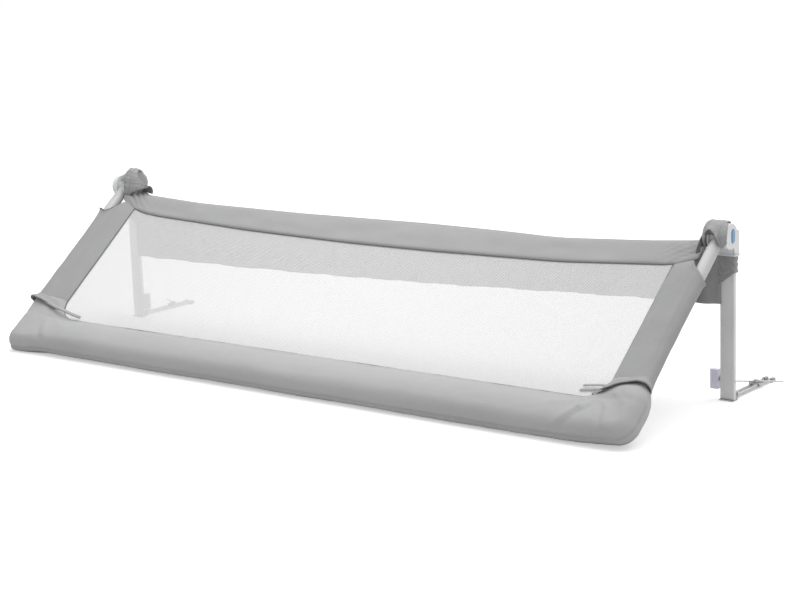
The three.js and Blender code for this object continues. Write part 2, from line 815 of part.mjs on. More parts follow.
// The rolled hem between sleeve and boot, with two flat tabs that reach over the net
function hemTab() {
  const from = hemPlace - hemThickness;
  const to = hemPlace - seat;
  const coreAt = (reach) => new THREE.Vector3(0, 0, reach);
  const seamAt = (reach) => new THREE.Vector3(-sleeveWidth, 0, reach);
  const radius = sideSleeveRadius + hemProud;
  const ring = loft([
    sleeveRing(coreAt(from), seamAt(from), sideSleeveRadius),
    sleeveRing(coreAt((from + to) / 2), seamAt((from + to) / 2), radius),
    sleeveRing(coreAt(to), seamAt(to), sideSleeveRadius),
  ]);
  const low = netHalf + seat;
  const [root, tip, start] = [hemThickness - sleeveWidth, -sleeveWidth - tabLength, from + 2 * seat];
  const tab = (spread, y) => prism('y', polygon([
    [root, start], [root, start + tabWidth], [tip, start + tabWidth + spread], [tip, start + spread],
  ]), y, y + tabThickness);
  const lowerTab = tab(-tabSpread, low);
  const upperTab = tab(tabSpread, low + tabThickness / 2);
  return ring.add(lowerTab).add(upperTab).subtract(tubeCavity(from, to));
}

// The padded sleeve follows the tube round both corners; its seam follows the window's round corners
function tubePlace(along) {
  const turn = guardReach - bendRadius;
  const straight = turn - hemPlace;
  const angle = (along - straight) / bendRadius;
  if (angle <= 0) return new THREE.Vector3(0, 0, hemPlace + along);
  if (angle >= Math.PI / 2) {
    return new THREE.Vector3(-bendRadius - (angle - Math.PI / 2) * bendRadius, 0, guardReach);
  }
  return new THREE.Vector3(bendRadius * (Math.cos(angle) - 1), 0, turn + bendRadius * Math.sin(angle));
}

function railSleeve() {
  const cornerSteps = 9;
  const straightSteps = 4;
  const length = 2 * (guardReach - bendRadius - hemPlace) + bendRadius * Math.PI / 2;
  const centre = new THREE.Vector3(-sleeveWidth - windowCorner, 0, seamReach - windowCorner);
  const corner = [];
  for (let i = 0; i <= cornerSteps; i += 1) {
    const share = i / cornerSteps;
    const angle = share * Math.PI / 2;
    const outward = new THREE.Vector3(Math.cos(angle), 0, Math.sin(angle));
    const seamPlace = centre.clone().addScaledVector(outward, windowCorner);
    const rise = Math.sin(Math.min(1, share / padRiseShare) * Math.PI / 2);
    const radius = sideSleeveRadius + (padRadius - sideSleeveRadius) * rise;
    const ring = sleeveRing(tubePlace(share * length), seamPlace, radius);
    corner.push(ring.map((p) => p.setX(p.x + armSpan)));
  }
  const inner = corner[cornerSteps];
  const straightLength = 2 * inner[0].x;
  const straight = [];
  for (let i = 1; i < straightSteps; i += 1) {
    straight.push(inner.map((p) => p.clone().setX(p.x - straightLength * i / straightSteps)));
  }
  const mirrored = corner.map((ring) => ring.map((p) => p.clone().setX(-p.x))).reverse();
  const tubeRoom = tubeRadius + seat;
  const bore = shifted(
    bentBar(tubeRoom, [[tubeRoom, guardReach - hemPlace]], [[tubeRoom, armSpan]]), armSpan, 0, 0);
  const mirror = new THREE.Matrix4().makeScale(-1, 1, 1);
  return loft([...corner, ...straight, ...mirrored]).subtract(bore).subtract(transformed(bore, mirror));
}

// Edges of the band: the upper one sags and the lower one bows towards the middle
const bandEnd = armSpan + hoodFace - seat;
const arch = (x) => Math.cos(Math.min(1, Math.abs(x) / seamSpan) * Math.PI / 2);
const bandTop = (x) => bandInner + bandSag * arch(x);
const bandBottom = (x) => cuffInner + bandBow * arch(x);

function guardBand() {
  const steps = 36;
  const rings = [];
  for (let i = 0; i <= steps; i += 1) {
    const x = bandEnd * Math.sin((i / steps - 0.5) * Math.PI);
    const gather = Math.max(0, 1 - (bandEnd - Math.abs(x)) / gatherLength);
    const wave = gatherHeight * gather * Math.sin(i * Math.PI / 2);
    const [high, low] = [bandTop(x), bandBottom(x)];
    const middle = (high + low) / 2;
    const at = (y, s) => new THREE.Vector3(x, y, s);
    rings.push([
      at(-bandHalf / 2, high), at(bandHalf / 2, high), at(bandHalf + wave, middle),
      at(bandHalf / 2, low), at(-bandHalf / 2, low), at(-bandHalf + wave, middle),
    ]);
  }
  return loft(rings);
}

// Flat net: diamond gaps in staggered rows, with half gaps along the window's outline
const netTop = (x) => bandBottom(x) + netMargin;
const netBottom = seamReach - netMargin;

function netPlace(x, share) {
  return new THREE.Vector2(x, netTop(x) + (netBottom - netTop(x)) * share);
}

function netGap(column, row) {
  const side = seamSpan - netMargin;
  const stepX = side / netColumns;
  const stepShare = 1 / (2 * netRows);
  const [x, share] = [stepX * column - side, stepShare * row];
  const halfX = stepX - netStrand / 2;
  const halfShare = stepShare - netStrand / 2 / (netBottom - netTop(0));
  const past = Math.hypot(
    Math.max(0, Math.abs(x) - seamSpan + windowCorner),
    Math.max(0, netPlace(x, share).y - seamReach + windowCorner));
  if (past + Math.min(halfX, stepX) / 2 > windowCorner - netMargin / 2) return null;
  const corners = [];
  if (column > 0) corners.push(netPlace(x - halfX, share));
  if (row > 0) corners.push(netPlace(x, share - halfShare));
  if (column < 2 * netColumns) corners.push(netPlace(x + halfX, share));
  if (row < 2 * netRows) corners.push(netPlace(x, share + halfShare));
  return corners;
}

function netWindow() {
  const edgeSteps = 24;
  const side = seamSpan - seat;
  const bottom = seamReach - seat;
  const shape = new THREE.Shape();
  shape.moveTo(side, bandBottom(side) + seat);
  shape.lineTo(side, bottom - windowCorner);
  shape.absarc(side - windowCorner, bottom - windowCorner, windowCorner, 0, Math.PI / 2);
  shape.lineTo(-side + windowCorner, bottom);
  shape.absarc(-side + windowCorner, bottom - windowCorner, windowCorner, Math.PI / 2, Math.PI);
  shape.lineTo(-side, bandBottom(side) + seat);
  for (let i = 1; i < edgeSteps; i += 1) {
    const x = side * (2 * i / edgeSteps - 1);
    shape.lineTo(x, bandBottom(x) + 2 * seat);
  }
  for (let row = 0; row <= 2 * netRows; row += 1) {
    for (let column = (row + 1) % 2; column <= 2 * netColumns; column += 2) {
      const corners = netGap(column, row);
      if (corners) shape.holes.push(new THREE.Path(corners));
    }
  }
  return prism('y', shape, -netHalf, netHalf, 3);
}

// The skirt hangs behind the band, in shallow folds, and is held by the loops at its ends
function hangingSkirt() {
  const steps = 6 * skirtFolds;
  const heightShares = [0, 0.35, 0.7, 1];
  const topFoldShare = 0.2;
  const skirtShoulder = loopTop + loopWall;
  const end = halfSpan - postHalf - seat - loopWall - seat;
  const rings = [];
  for (let i = 0; i <= steps; i += 1) {
    const x = end * (2 * i / steps - 1);
    const fromEnd = Math.min(1, (end - Math.abs(x)) / skirtShoulderLength);
    const ease = fromEnd * fromEnd * (3 - 2 * fromEnd);
    const top = -skirtShoulder + (skirtShoulder - skirtTop) * ease;
    const bottom = -loopBottom - (skirtDrop - loopBottom) * ease;
    const depth = postSetback + (skirtDepth - postSetback) * ease;
    const fold = skirtFold * ease * Math.sin(i / steps * skirtFolds * 2 * Math.PI);
    const front = heightShares.map((share) => new THREE.Vector3(
      x, depth + fold * (share + topFoldShare) - skirtHalf, top + (bottom - top) * share));
    const back = heightShares.map((share) => new THREE.Vector3(
      x, depth + fold * (share + topFoldShare) + skirtHalf, top + (bottom - top) * share)).reverse();
    rings.push([...front, ...back]);
  }
  return loft(rings);
}

function postLoop() {
  const loopOutline = (grow, round) => roundedBox(
    -postHalf - grow, postHalf + grow, postFront - grow, postBack + grow, round);
  const outer = loopOutline(seat + loopWall, postEdge + loopWall);
  outer.holes.push(new THREE.Path(loopOutline(seat, postEdge).getPoints(2).reverse()));
  const band = prism('z', outer, -loopBottom, -loopTop, 2);
  const [far, above] = [postWidth, -loopTop + overrun];
  const keep = polygon([
    [-far, -loopBottom], [far, -loopBottom + 2 * loopSlant], [far, above], [-far, above]]);
  return band.intersect(prism('y', keep, 0, 2 * housingBack));
}

// The hood caps the inner cheek and closes over the back of the hinge, open where the arm swings
function hingeHood() {
  const inside = hoodFace + hoodWall;
  const rimEnd = hoodFace + hoodRim;
  const innerRadius = housingRadius + seat;
  const outerRadius = innerRadius + hoodWall;
  const cap = rod('x', outerRadius, hoodFace, rimEnd, 0, 0, 28);
  const room = rod('x', innerRadius, inside, rimEnd + overrun, 0, 0, 28);
  const strapFront = tubeRadius + swingClearance;
  const backStrap = rod('x', outerRadius, hoodFace, hoodBackHalf, 0, 0, 28)
    .subtract(rod('x', innerRadius, inside, hoodBackHalf + overrun, 0, 0, 28))
    .intersect(box(hoodFace, hoodBackHalf, strapFront, housingRadius, 0, 2 * housingRadius));
  const [far, before] = [2 * housingSkirt, hoodFace - overrun];
  const footRoom = housingRadius * Math.cos(outlineEnd) - seat;
  const skirtRoom = box(before, rimEnd + overrun, footRoom, far, -far, 0)
    .add(box(before, hoodBackHalf + overrun, housingRadius - loopWall, far, -far, housingRadius / 2));
  return cap.subtract(room).add(backStrap).subtract(skirtRoom);
}

// Assembly
const materials = new Map();

function mesh(name, piece, look) {
  if (!materials.has(look)) materials.set(look, new THREE.MeshStandardMaterial(look));
  const geometry = geometryOf(piece);
  geometry.computeVertexNormals();
  const made = new THREE.Mesh(geometry, materials.get(look).clone());
  made.name = name;
  return made;
}

// One piece for an end of the guard: the left end is the mirror image of the right one
function endPiece(side, piece, span) {
  const matrix = new THREE.Matrix4().makeScale(side, 1, 1);
  matrix.setPosition(side * span, 0, 0);
  return transformed(piece, matrix);
}

const rail = new THREE.Group();
const guard = new THREE.Group();
guard.position.set(0, 0, hingeHeight);
guard.rotation.x = restAngle;
rail.add(guard);

guard.add(mesh('rail_tube', railTube(), whitePaint));
guard.add(mesh('rail_sleeve', railSleeve(), fabric));
guard.add(mesh('guard_band', guardBand(), fabric));
guard.add(mesh('net_window', netWindow(), netting));

for (const [side, end] of [[-1, 'left'], [1, 'right']]) {
  const add = (parent, span, height, list) => {
    for (const [name, piece, look] of list) {
      const made = mesh(`${name}_${end}`, endPiece(side, piece, span), look);
      made.position.z = height;
      parent.add(made);
    }
  };
  const snap = snapButton();
  add(guard, armSpan, 0, [
    ['hub_arm', hubArm(), whitePlastic],
    ['side_tube', sideTube(), whitePaint],
    ['corner_tube', cornerTube(), whitePaint],
    ['side_snap', shifted(snap, 0, 0, cornerStart - snapPlace), brightSteel],
    ['rail_snap', shifted(snap, -bendRadius - cornerStraight - snapPlace, 0, guardReach), brightSteel],
    ['side_sleeve', sideSleeve(), fabric],
    ['hem_tab', hemTab(), fabric],
  ]);
  add(rail, armSpan, hingeHeight, [
    ['hinge_housing', hingeHousing(), whitePlastic],
    ['housing_cover', housingCover(), whitePlastic],
    ['hinge_axle', hingeAxle(), brightSteel],
    ['lock_pawl', lockPawl(), greyPlastic],
    ['pawl_spring', pawlSpring(), brightSteel],
    ['release_button', releaseButton(), bluePlastic],
    ['button_spring', buttonSpring(), brightSteel],
    ['hinge_hood', hingeHood(), fabric],
  ]);
  add(rail, halfSpan, hingeHeight, [
    ['housing_screw', housingScrew(), brightSteel],
    ['post_loop', postLoop(), shadedFabric],
  ]);
  add(rail, halfSpan, 0, [
    ['post_bar', postBar(), whitePaint],
    ['foot_bracket', footBracket(), whitePaint],
    ['foot_pin', footPin(), brightSteel],
    ['foot_fork', footFork(), whitePaint],
    ['rod_cap_inner', rodCap(-1), greyPlastic],
    ['rod_cap_outer', rodCap(1), greyPlastic],
    ['rod_clamp', rodClamp(), brightSteel],
    ['cross_wire', crossWire(), brightSteel],
    ['foot_catch', footCatch(), lavenderPlastic],
    ['catch_spring', catchSpring(), brightSteel],
  ]);
}

const skirt = mesh('hanging_skirt', hangingSkirt(), shadedFabric);
skirt.position.z = hingeHeight;
rail.add(skirt);

// The origin goes to the middle of the footprint, on the floor
rail.updateMatrixWorld(true);
const footprint = new THREE.Box3().setFromObject(rail, true);
const middle = footprint.getCenter(new THREE.Vector3());
rail.position.set(-middle.x, -middle.y, -footprint.min.z);

export default rail;
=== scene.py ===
import bmesh
import bpy
from math import acos, atan2, copysign, cos, degrees, exp, hypot, pi, radians, sin, sqrt
from mathutils import Matrix, Vector, noise


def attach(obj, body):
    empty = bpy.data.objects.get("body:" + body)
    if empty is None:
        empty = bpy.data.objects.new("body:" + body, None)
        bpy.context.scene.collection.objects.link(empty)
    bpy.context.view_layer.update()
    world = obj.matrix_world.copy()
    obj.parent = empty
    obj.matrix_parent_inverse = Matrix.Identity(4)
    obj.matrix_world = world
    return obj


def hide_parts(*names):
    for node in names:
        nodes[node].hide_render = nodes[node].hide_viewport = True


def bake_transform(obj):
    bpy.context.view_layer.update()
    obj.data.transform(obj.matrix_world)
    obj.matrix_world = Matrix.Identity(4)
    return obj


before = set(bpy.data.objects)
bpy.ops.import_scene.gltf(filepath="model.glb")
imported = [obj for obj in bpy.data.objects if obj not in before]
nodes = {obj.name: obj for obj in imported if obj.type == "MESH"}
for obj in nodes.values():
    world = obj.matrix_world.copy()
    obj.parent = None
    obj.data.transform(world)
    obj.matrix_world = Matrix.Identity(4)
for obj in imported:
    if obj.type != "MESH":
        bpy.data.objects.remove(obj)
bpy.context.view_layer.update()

# Sizes of the frame, in metres; s is measured from the hinge line down the sloping guard
HINGE_Y, HINGE_Z = 0.0910561, 0.295
REACH = 0.430
ARM_X = 0.725
POST_X, POST_Y = 0.730, 0.1110561
PAD_RADIUS = 0.027
SLEEVE_RADIUS = 0.016
SKIN_RADIUS = 0.0142
SEAM_S, SEAM_HALF = 0.373, 0.0024
HEM_S = 0.328
TURN = acos((PAD_RADIUS - HINGE_Z) / REACH)
REACH_AXIS = Vector((0, -sin(TURN), cos(TURN)))
FRONT_AXIS = Vector((0, cos(TURN), sin(TURN)))
HINGE = Vector((0, HINGE_Y, HINGE_Z))
SIGN = {"left": -1, "right": 1}


def panel(x, s, n):
    """A place on the guard: x across, s from the hinge line down the guard, n proud of its middle plane."""
    return HINGE + Vector((x, 0, 0)) + REACH_AXIS * s + FRONT_AXIS * n


def row_at(rows, x):
    """The values before and after x in rows of (place, value), and its share of the way between them."""
    for (a, u), (b, v) in zip(rows, rows[1:]):
        if x <= b:
            return u, v, max(0, (x - a) / (b - a))
    return rows[-1][1], rows[-1][1], 1


def smooth(a, b, x):
    """A soft step from 0 at a to 1 at b, also where b is the smaller."""
    t = min(1, max(0, (x - a) / (b - a)))
    return t * t * (3 - 2 * t)


def between(a, b, t):
    return a + (b - a) * t


def line(rows, x):
    """Straight value between the rows (place, value)."""
    return between(*row_at(rows, x))


def table(rows, x):
    """Smooth value between the rows (place, value)."""
    before, after, share = row_at(rows, x)
    return between(before, after, smooth(0, 1, share))


def hump(x, middle, half):
    """A bell of height 1 round the middle."""
    return exp(-((x - middle) / half) ** 2)


def wobble(p, size, seed):
    """Soft noise of about -1 to 1 with features of the given size."""
    return noise.noise(Vector(p) / size + Vector((seed, seed * 1.7, -seed)))


# Meshes
def link(name, data):
    obj = bpy.data.objects.new(name, data)
    bpy.context.collection.objects.link(obj)
    return obj


def object_from(name, points, faces, uvs, material):
    mesh = bpy.data.meshes.new(name)
    mesh.from_pydata([tuple(p) for p in points], [], faces)
    layer = mesh.uv_layers.new(name="cloth")
    for loop in mesh.loops:
        layer.data[loop.index].uv = uvs[loop.vertex_index]
    mesh.polygons.foreach_set("use_smooth", [True] * len(mesh.polygons))
    mesh.materials.append(material)
    return link(name, mesh)


def loft(name, rings, material, closed=True, caps=False):
    """A skin over rings of points, with UVs in metres: u along the rings, v round them."""
    count = len(rings[0])
    points = [p for ring in rings for p in ring]
    faces, uvs = [], []
    along = 0.0
    middle = count // 2
    for i, ring in enumerate(rings):
        if i:
            along += (ring[middle] - rings[i - 1][middle]).length
        around = 0.0
        for j, p in enumerate(ring):
            if j:
                around += (p - ring[j - 1]).length
            uvs.append((along, around))
    for i in range(len(rings) - 1):
        for j in range(count if closed else count - 1):
            k = (j + 1) % count
            a, b = i * count, (i + 1) * count
            faces.append((a + j, a + k, b + k, b + j))
    if caps:
        faces.append(tuple(range(count))[::-1])
        faces.append(tuple(range((len(rings) - 1) * count, len(rings) * count)))
    return object_from(name, points, faces, uvs, material)


def outward(obj):
    """Turns the faces of a closed skin outwards."""
    data = bmesh.new()
    data.from_mesh(obj.data)
    bmesh.ops.recalc_face_normals(data, faces=data.faces)
    data.to_mesh(obj.data)
    data.free()
    return obj


CLOTH, THIN_CLOTH = 0.0010, 0.0008


def thicken(obj, thickness, offset=-1.0):
    """Makes a layer of cloth solid: inwards at offset -1, to both sides at 0, outwards at 1."""
    solid = obj.modifiers.new("cloth", "SOLIDIFY")
    solid.thickness = thickness
    solid.offset = offset


# Materials
WAVE_PERIOD = 0.314  # metres between the bands of a wave texture at scale 1


def principled(name, colour, roughness, **values):
    """A material, its tree and its shader; the values are for further inputs of the shader."""
    material = bpy.data.materials.new(name)
    material.use_nodes = True
    shader = material.node_tree.nodes["Principled BSDF"]
    shader.inputs["Base Color"].default_value = (*colour, 1)
    shader.inputs["Roughness"].default_value = roughness
    for key, value in values.items():
        shader.inputs[key.replace("_", " ")].default_value = value
    return material, material.node_tree, shader


def add(tree, kind, inputs=None, **settings):
    """A node whose inputs take values or the outputs of other nodes."""
    node = tree.nodes.new(kind)
    for key, value in settings.items():
        setattr(node, key, value)
    for key, value in (inputs or {}).items():
        if hasattr(value, "is_output"):
            tree.links.new(value, node.inputs[key])
        else:
            node.inputs[key].default_value = value
    return node


def math_node(tree, operation, a, b):
    return add(tree, "ShaderNodeMath", {0: a, 1: b}, operation=operation).outputs[0]


def mixed(tree, a, share, b):
    """The share of a and the rest of b."""
    parts = [math_node(tree, "MULTIPLY", value, part) for value, part in ((a, share), (b, 1 - share))]
    return math_node(tree, "ADD", *parts)


def noise_node(tree, vector, scale, detail=2.0):
    inputs = {"Vector": vector, "Scale": scale, "Detail": detail}
    return add(tree, "ShaderNodeTexNoise", inputs).outputs["Fac"]


def stretched(tree, vector, scale):
    return add(tree, "ShaderNodeMapping", {"Vector": vector, "Scale": scale}).outputs[0]


def ranged(tree, value, low, high, start=0.0, end=1.0):
    """The value, mapped from start and end to low and high."""
    return add(tree, "ShaderNodeMapRange", {
        "Value": value, "From Min": start, "From Max": end, "To Min": low, "To Max": high}).outputs[0]


def bump(tree, height, strength, distance, **below):
    return add(tree, "ShaderNodeBump", {
        "Height": height, "Strength": strength, "Distance": distance, **below}).outputs[0]


def two_tone(tree, shader, factor, colour, spread, start, end):
    """Colours the surface a little darker to a little lighter, as the factor goes from start to end."""
    ramp = add(tree, "ShaderNodeValToRGB", {"Fac": factor})
    for element, place, tone in zip(ramp.color_ramp.elements, (start, end), (1 - spread, 1 + spread)):
        element.position = place
        element.color = (*[min(1, c * tone) for c in colour], 1)
    tree.links.new(ramp.outputs["Color"], shader.inputs["Base Color"])


def fabric_material(name, colour, weave=0.00055):
    """Plain woven polyester: crossed yarns, uneven yarn colour, a soft nap and faint rubbed patches."""
    material, tree, shader = principled(
        name, colour, 0.9, Sheen_Weight=0.12, Sheen_Roughness=0.45, Specular_IOR_Level=0.25)
    uv = add(tree, "ShaderNodeUVMap", uv_map="cloth").outputs["UV"]
    place = add(tree, "ShaderNodeTexCoord").outputs["Object"]
    bands = []
    for direction in ("X", "Y"):
        bands.append(add(tree, "ShaderNodeTexWave", {
            "Vector": uv, "Scale": WAVE_PERIOD / weave, "Distortion": 0.6, "Detail": 1.0, "Detail Scale": 2.0,
        }, wave_type="BANDS", bands_direction=direction).outputs["Fac"])
    yarn = math_node(tree, "MAXIMUM", *bands)
    slub = noise_node(tree, uv, 900.0)
    streak = noise_node(tree, stretched(tree, uv, (60, 900, 1)), 1.0)
    patch = noise_node(tree, place, 9.0, 3.0)
    heather = mixed(tree, streak, 0.5, slub)
    two_tone(tree, shader, mixed(tree, heather, 0.7, patch), colour, 0.10, 0.3, 0.7)
    tree.links.new(ranged(tree, patch, 0.82, 0.96), shader.inputs["Roughness"])
    crumple = bump(tree, noise_node(tree, place, 55.0, 3.0), 0.175, 0.0012)
    tree.links.new(bump(tree, yarn, 0.35, 0.00012, Normal=crumple), shader.inputs["Normal"])
    return material


def net_material():
    """White knitted polyester filament."""
    material, tree, shader = principled("net_white", (0.72, 0.72, 0.73), 0.7, Sheen_Weight=0.15)
    place = add(tree, "ShaderNodeTexCoord").outputs["Object"]
    fibre = noise_node(tree, place, 1400.0)
    tree.links.new(ranged(tree, fibre, 0.67, 0.77), shader.inputs["Base Color"])
    tree.links.new(bump(tree, fibre, 0.3, 0.0001), shader.inputs["Normal"])
    return material


def coated_material(name, colour, roughness, grain_size, depth, metallic=0.0):
    """Powder coat, moulded plastic or plated steel: fine grain, soft tone changes and faint rubbed marks."""
    material, tree, shader = principled(name, colour, roughness, Metallic=metallic)
    place = add(tree, "ShaderNodeTexCoord").outputs["Object"]
    grain = noise_node(tree, place, 1 / grain_size, 3.0)
    patch = noise_node(tree, place, 22.0, 4.0)
    scratch = noise_node(tree, stretched(tree, place, (900, 900, 30)), 1.0)
    two_tone(tree, shader, patch, colour, 0.03, 0.35, 0.65)
    worn = mixed(tree, patch, 0.6, scratch)
    rough = ranged(tree, worn, roughness * 0.8, min(1, roughness * 1.25), 0.3, 0.7)
    tree.links.new(rough, shader.inputs["Roughness"])
    tree.links.new(bump(tree, grain, 0.4, depth), shader.inputs["Normal"])
    return material


fabric = fabric_material("fabric_grey", (0.43, 0.43, 0.435))
# The band's cloth is the pad's grey, set darker to paint in the shade on the band
fabric_band_painted_shade = fabric_material("fabric_band_painted_shade", (0.375, 0.375, 0.380))
# The same grey cloth, darker: painted shade on the skirt and post loops behind the band
fabric_shaded = fabric_material("fabric_skirt_painted_shade", (0.335, 0.335, 0.340))
# The same grey cloth, darker: painted shade on the side sleeves and their hems
fabric_side_painted_shade = fabric_material("fabric_sleeve_painted_shade", (0.355, 0.355, 0.360))
# Painted shade: a near-black copy of the grey cloth for shadowed edges, undersides, linings and openings
painted_shade_fabric = fabric_material("fabric_painted_shade", (0.17, 0.17, 0.173))
# The same grey cloth, darker: painted shade on the hoods and the left collar
fabric_hood_painted_shade = fabric_material("fabric_hood_painted_shade", (0.36, 0.36, 0.363))
thread = fabric_material("thread", (0.42, 0.42, 0.43), weave=0.0002)
netting = net_material()
white_coat = coated_material("powder_coat_white", (0.78, 0.78, 0.78), 0.35, 0.0009, 0.00006)
# The same white coat as the posts and rail, darker: painted shade on the arms and side tubes
arm_coat_painted_shade = coated_material("arm_white_painted_shade", (0.56, 0.56, 0.562), 0.40, 0.0007, 0.00005)
white_plastic = coated_material("plastic_white", (0.77, 0.785, 0.80), 0.42, 0.0006, 0.00004)
blue_plastic = coated_material("plastic_blue", (0.20, 0.36, 0.52), 0.38, 0.0006, 0.00004)
lavender = coated_material("plastic_lavender", (0.86, 0.85, 0.97), 0.3, 0.0007, 0.00004)
grey_plastic = coated_material("plastic_grey", (0.16, 0.16, 0.165), 0.55, 0.0005, 0.00005)
rod_plastic = coated_material("plastic_rod_end", (0.34, 0.34, 0.345), 0.5, 0.0005, 0.00005)
steel = coated_material("steel_plated", (0.43, 0.43, 0.44), 0.38, 0.0005, 0.00003, metallic=1.0)


# The frame's own pieces, with softened edges
def dress(name, material, width, plain=False):
    """Gives one its material and bevels; the coils of a spring are left unmerged as plain."""
    obj = nodes[name]
    mesh = obj.data
    mesh.materials.clear()
    mesh.materials.append(material)
    if "custom_normal" in mesh.attributes:
        mesh.attributes.remove(mesh.attributes["custom_normal"])
    mesh.polygons.foreach_set("use_smooth", [True] * len(mesh.polygons))
    weld = obj.modifiers.new("weld", "WELD")
    weld.merge_threshold = 2e-6
    if not plain:
        flat = obj.modifiers.new("flat", "DECIMATE")
        flat.decimate_type = "DISSOLVE"
        flat.angle_limit = radians(1.0)
    bevel = obj.modifiers.new("edges", "BEVEL")
    bevel.width = width
    bevel.segments = 2
    bevel.limit_method = "ANGLE"
    bevel.angle_limit = radians(32)
    bevel.harden_normals = True
    bevel.use_clamp_overlap = True


# Each side's pieces, by material and bevel
DRESS = [
    # The arms and side tubes take the darker white: painted shade
    (arm_coat_painted_shade, 0.0004, "side_tube corner_tube"),
    (arm_coat_painted_shade, 0.0006, "hub_arm"),
    (white_coat, 0.0004, "post_bar"),
    (white_plastic, 0.0006, "hinge_housing housing_cover"),
    (blue_plastic, 0.0006, "release_button"),
    (lavender, 0.0005, "foot_catch"),
    (grey_plastic, 0.0003, "side_snap rail_snap"),
    (rod_plastic, 0.0003, "rod_cap_inner rod_cap_outer"),
    (steel, 0.0003, "hinge_axle lock_pawl housing_screw rod_clamp cross_wire"),
    (steel, 0.0003, "foot_bracket foot_pin foot_fork"),
    (steel, 0.0001, "pawl_spring button_spring catch_spring"),
]
dress("rail_tube", white_coat, 0.0004)
for side in ("left", "right"):
    for material, width, parts in DRESS:
        for part in parts.split():
            dress(f"{part}_{side}", material, width, plain="spring" in part)


# Padded sleeve along the bottom rail
WINDOW_X = {"left": 0.653, "right": 0.667}
CORNER_BEND = {"left": 0.012, "right": 0.026}
CORNER_SHIFT = {"left": (-0.0165, 0.0100), "right": (0.0058, -0.0020)}
CORNER_PULL = {"left": 1.1, "right": 0.8}
WINDOW_BEND = {"left": 0.052, "right": 0.044}


def tube_place(along, bend):
    """(x, s) of the sleeve's core at one end, from the hem down the side and round the corner."""
    straight = REACH - bend - HEM_S
    angle = (along - straight) / bend
    if angle <= 0:
        return ARM_X, HEM_S + along
    if angle >= pi / 2:
        return ARM_X - bend - (angle - pi / 2) * bend, REACH
    return (ARM_X + bend * (cos(angle) - 1), REACH - bend + bend * sin(angle))


# The crease along the pad's outside: a dip and the lower bead beside it, by angle and half width
CREASE_DIP = (radians(10), radians(5))
CREASE_BEAD, BEAD_SHARE = (radians(-7), radians(9)), 0.8
ARC_SHARE = 0.46  # of a section's points, which lie on the tube's outside


def sleeve_section(core, seam, radius, count, fall=0.92, crease=0.0):
    """Points (x, s, n) round a tube and in to the seam; core and seam are (x, s)."""
    ax, as_ = core[0] - seam[0], core[1] - seam[1]
    width = hypot(ax, as_)
    ax, as_ = ax / width, as_ / width
    ring = []
    arc = round(count * ARC_SHARE)
    web = (count - arc) // 2
    for i in range(arc):
        angle = -pi / 2 + pi * i / (arc - 1)
        r = radius - crease * hump(angle, *CREASE_DIP) + BEAD_SHARE * crease * hump(angle, *CREASE_BEAD)
        out = r * cos(angle)
        ring.append((core[0] + ax * out, core[1] + as_ * out, r * sin(angle)))
    upper = []
    for i in range(1, web + 1):
        t = i / web
        n = between(SEAM_HALF, radius, cos(t * pi / 2) ** fall)
        upper.append((core[0] - ax * width * t, core[1] - as_ * width * t, n))
    ring += upper
    ring += [(x, s, -n) for x, s, n in reversed(upper)]
    return ring


PAD_CREASE = 0.0027
FLOOR_GAP = 0.0006
# Ridges and hollows pressed into the cloth: (x, s, x, s, half width, height), on the upper side
PAD_FOLDS = [
    (0.618, 0.446, 0.648, 0.408, 0.0055, 0.0034), (0.648, 0.408, 0.666, 0.384, 0.0050, 0.0028),
    (0.632, 0.448, 0.662, 0.406, 0.0060, -0.0022), (0.676, 0.384, 0.698, 0.402, 0.0048, 0.0022),
    (0.698, 0.402, 0.706, 0.440, 0.0055, 0.0026), (0.688, 0.396, 0.696, 0.432, 0.0055, -0.0018),
    (0.694, 0.366, 0.724, 0.386, 0.0050, 0.0014), (0.596, 0.404, 0.640, 0.386, 0.0070, 0.0014),
    (0.712, 0.372, 0.722, 0.420, 0.0050, -0.0012),
    (-0.620, 0.438, -0.655, 0.390, 0.0065, 0.0018), (-0.632, 0.442, -0.668, 0.394, 0.0065, -0.0012),
    (-0.600, 0.404, -0.640, 0.382, 0.0065, 0.0014), (-0.560, 0.440, -0.590, 0.400, 0.0065, 0.0012),
]


def ridge(x, s, folds):
    """The height of all the folds together at one place."""
    height = 0.0
    for ax, as_, bx, bs, half, lift in folds:
        dx, ds = bx - ax, bs - as_
        t = min(1, max(0, ((x - ax) * dx + (s - as_) * ds) / (dx * dx + ds * ds)))
        gap = hypot(x - ax - dx * t, s - as_ - ds * t)
        height += lift * hump(gap, 0, half)
    return height


def corner_path(side):
    """(core, seam, radius) of the pad's sections from one hem round to the straight rail."""
    steps = 38
    bend, round_, seam_x = CORNER_BEND[side], WINDOW_BEND[side], WINDOW_X[side]
    length = 2 * (REACH - bend - HEM_S) + bend * pi / 2
    centre = (seam_x - round_, SEAM_S - round_)
    path = []
    for i in range(steps + 1):
        share = i / steps
        angle = share * pi / 2
        core = tube_place(share * length, bend)
        pull = sin(pi * share) ** CORNER_PULL[side]
        core = (core[0] + CORNER_SHIFT[side][0] * pull, core[1] + CORNER_SHIFT[side][1] * pull)
        first = HEM_S - centre[1]
        seam = (centre[0] + round_ * cos(angle),
                centre[1] + round_ * sin(angle) + first * (1 - share) ** 3)
        # From the hem on, the filling grows to its full thickness, sooner at the right end
        if side == "left":
            rise = min(1, share / 0.46) ** 0.9
        else:
            rise = sin(min(1, max(0, share - 0.05) / 0.22) * pi / 2)
        path.append((core, seam, between(SKIN_RADIUS, PAD_RADIUS, rise)))
    return path


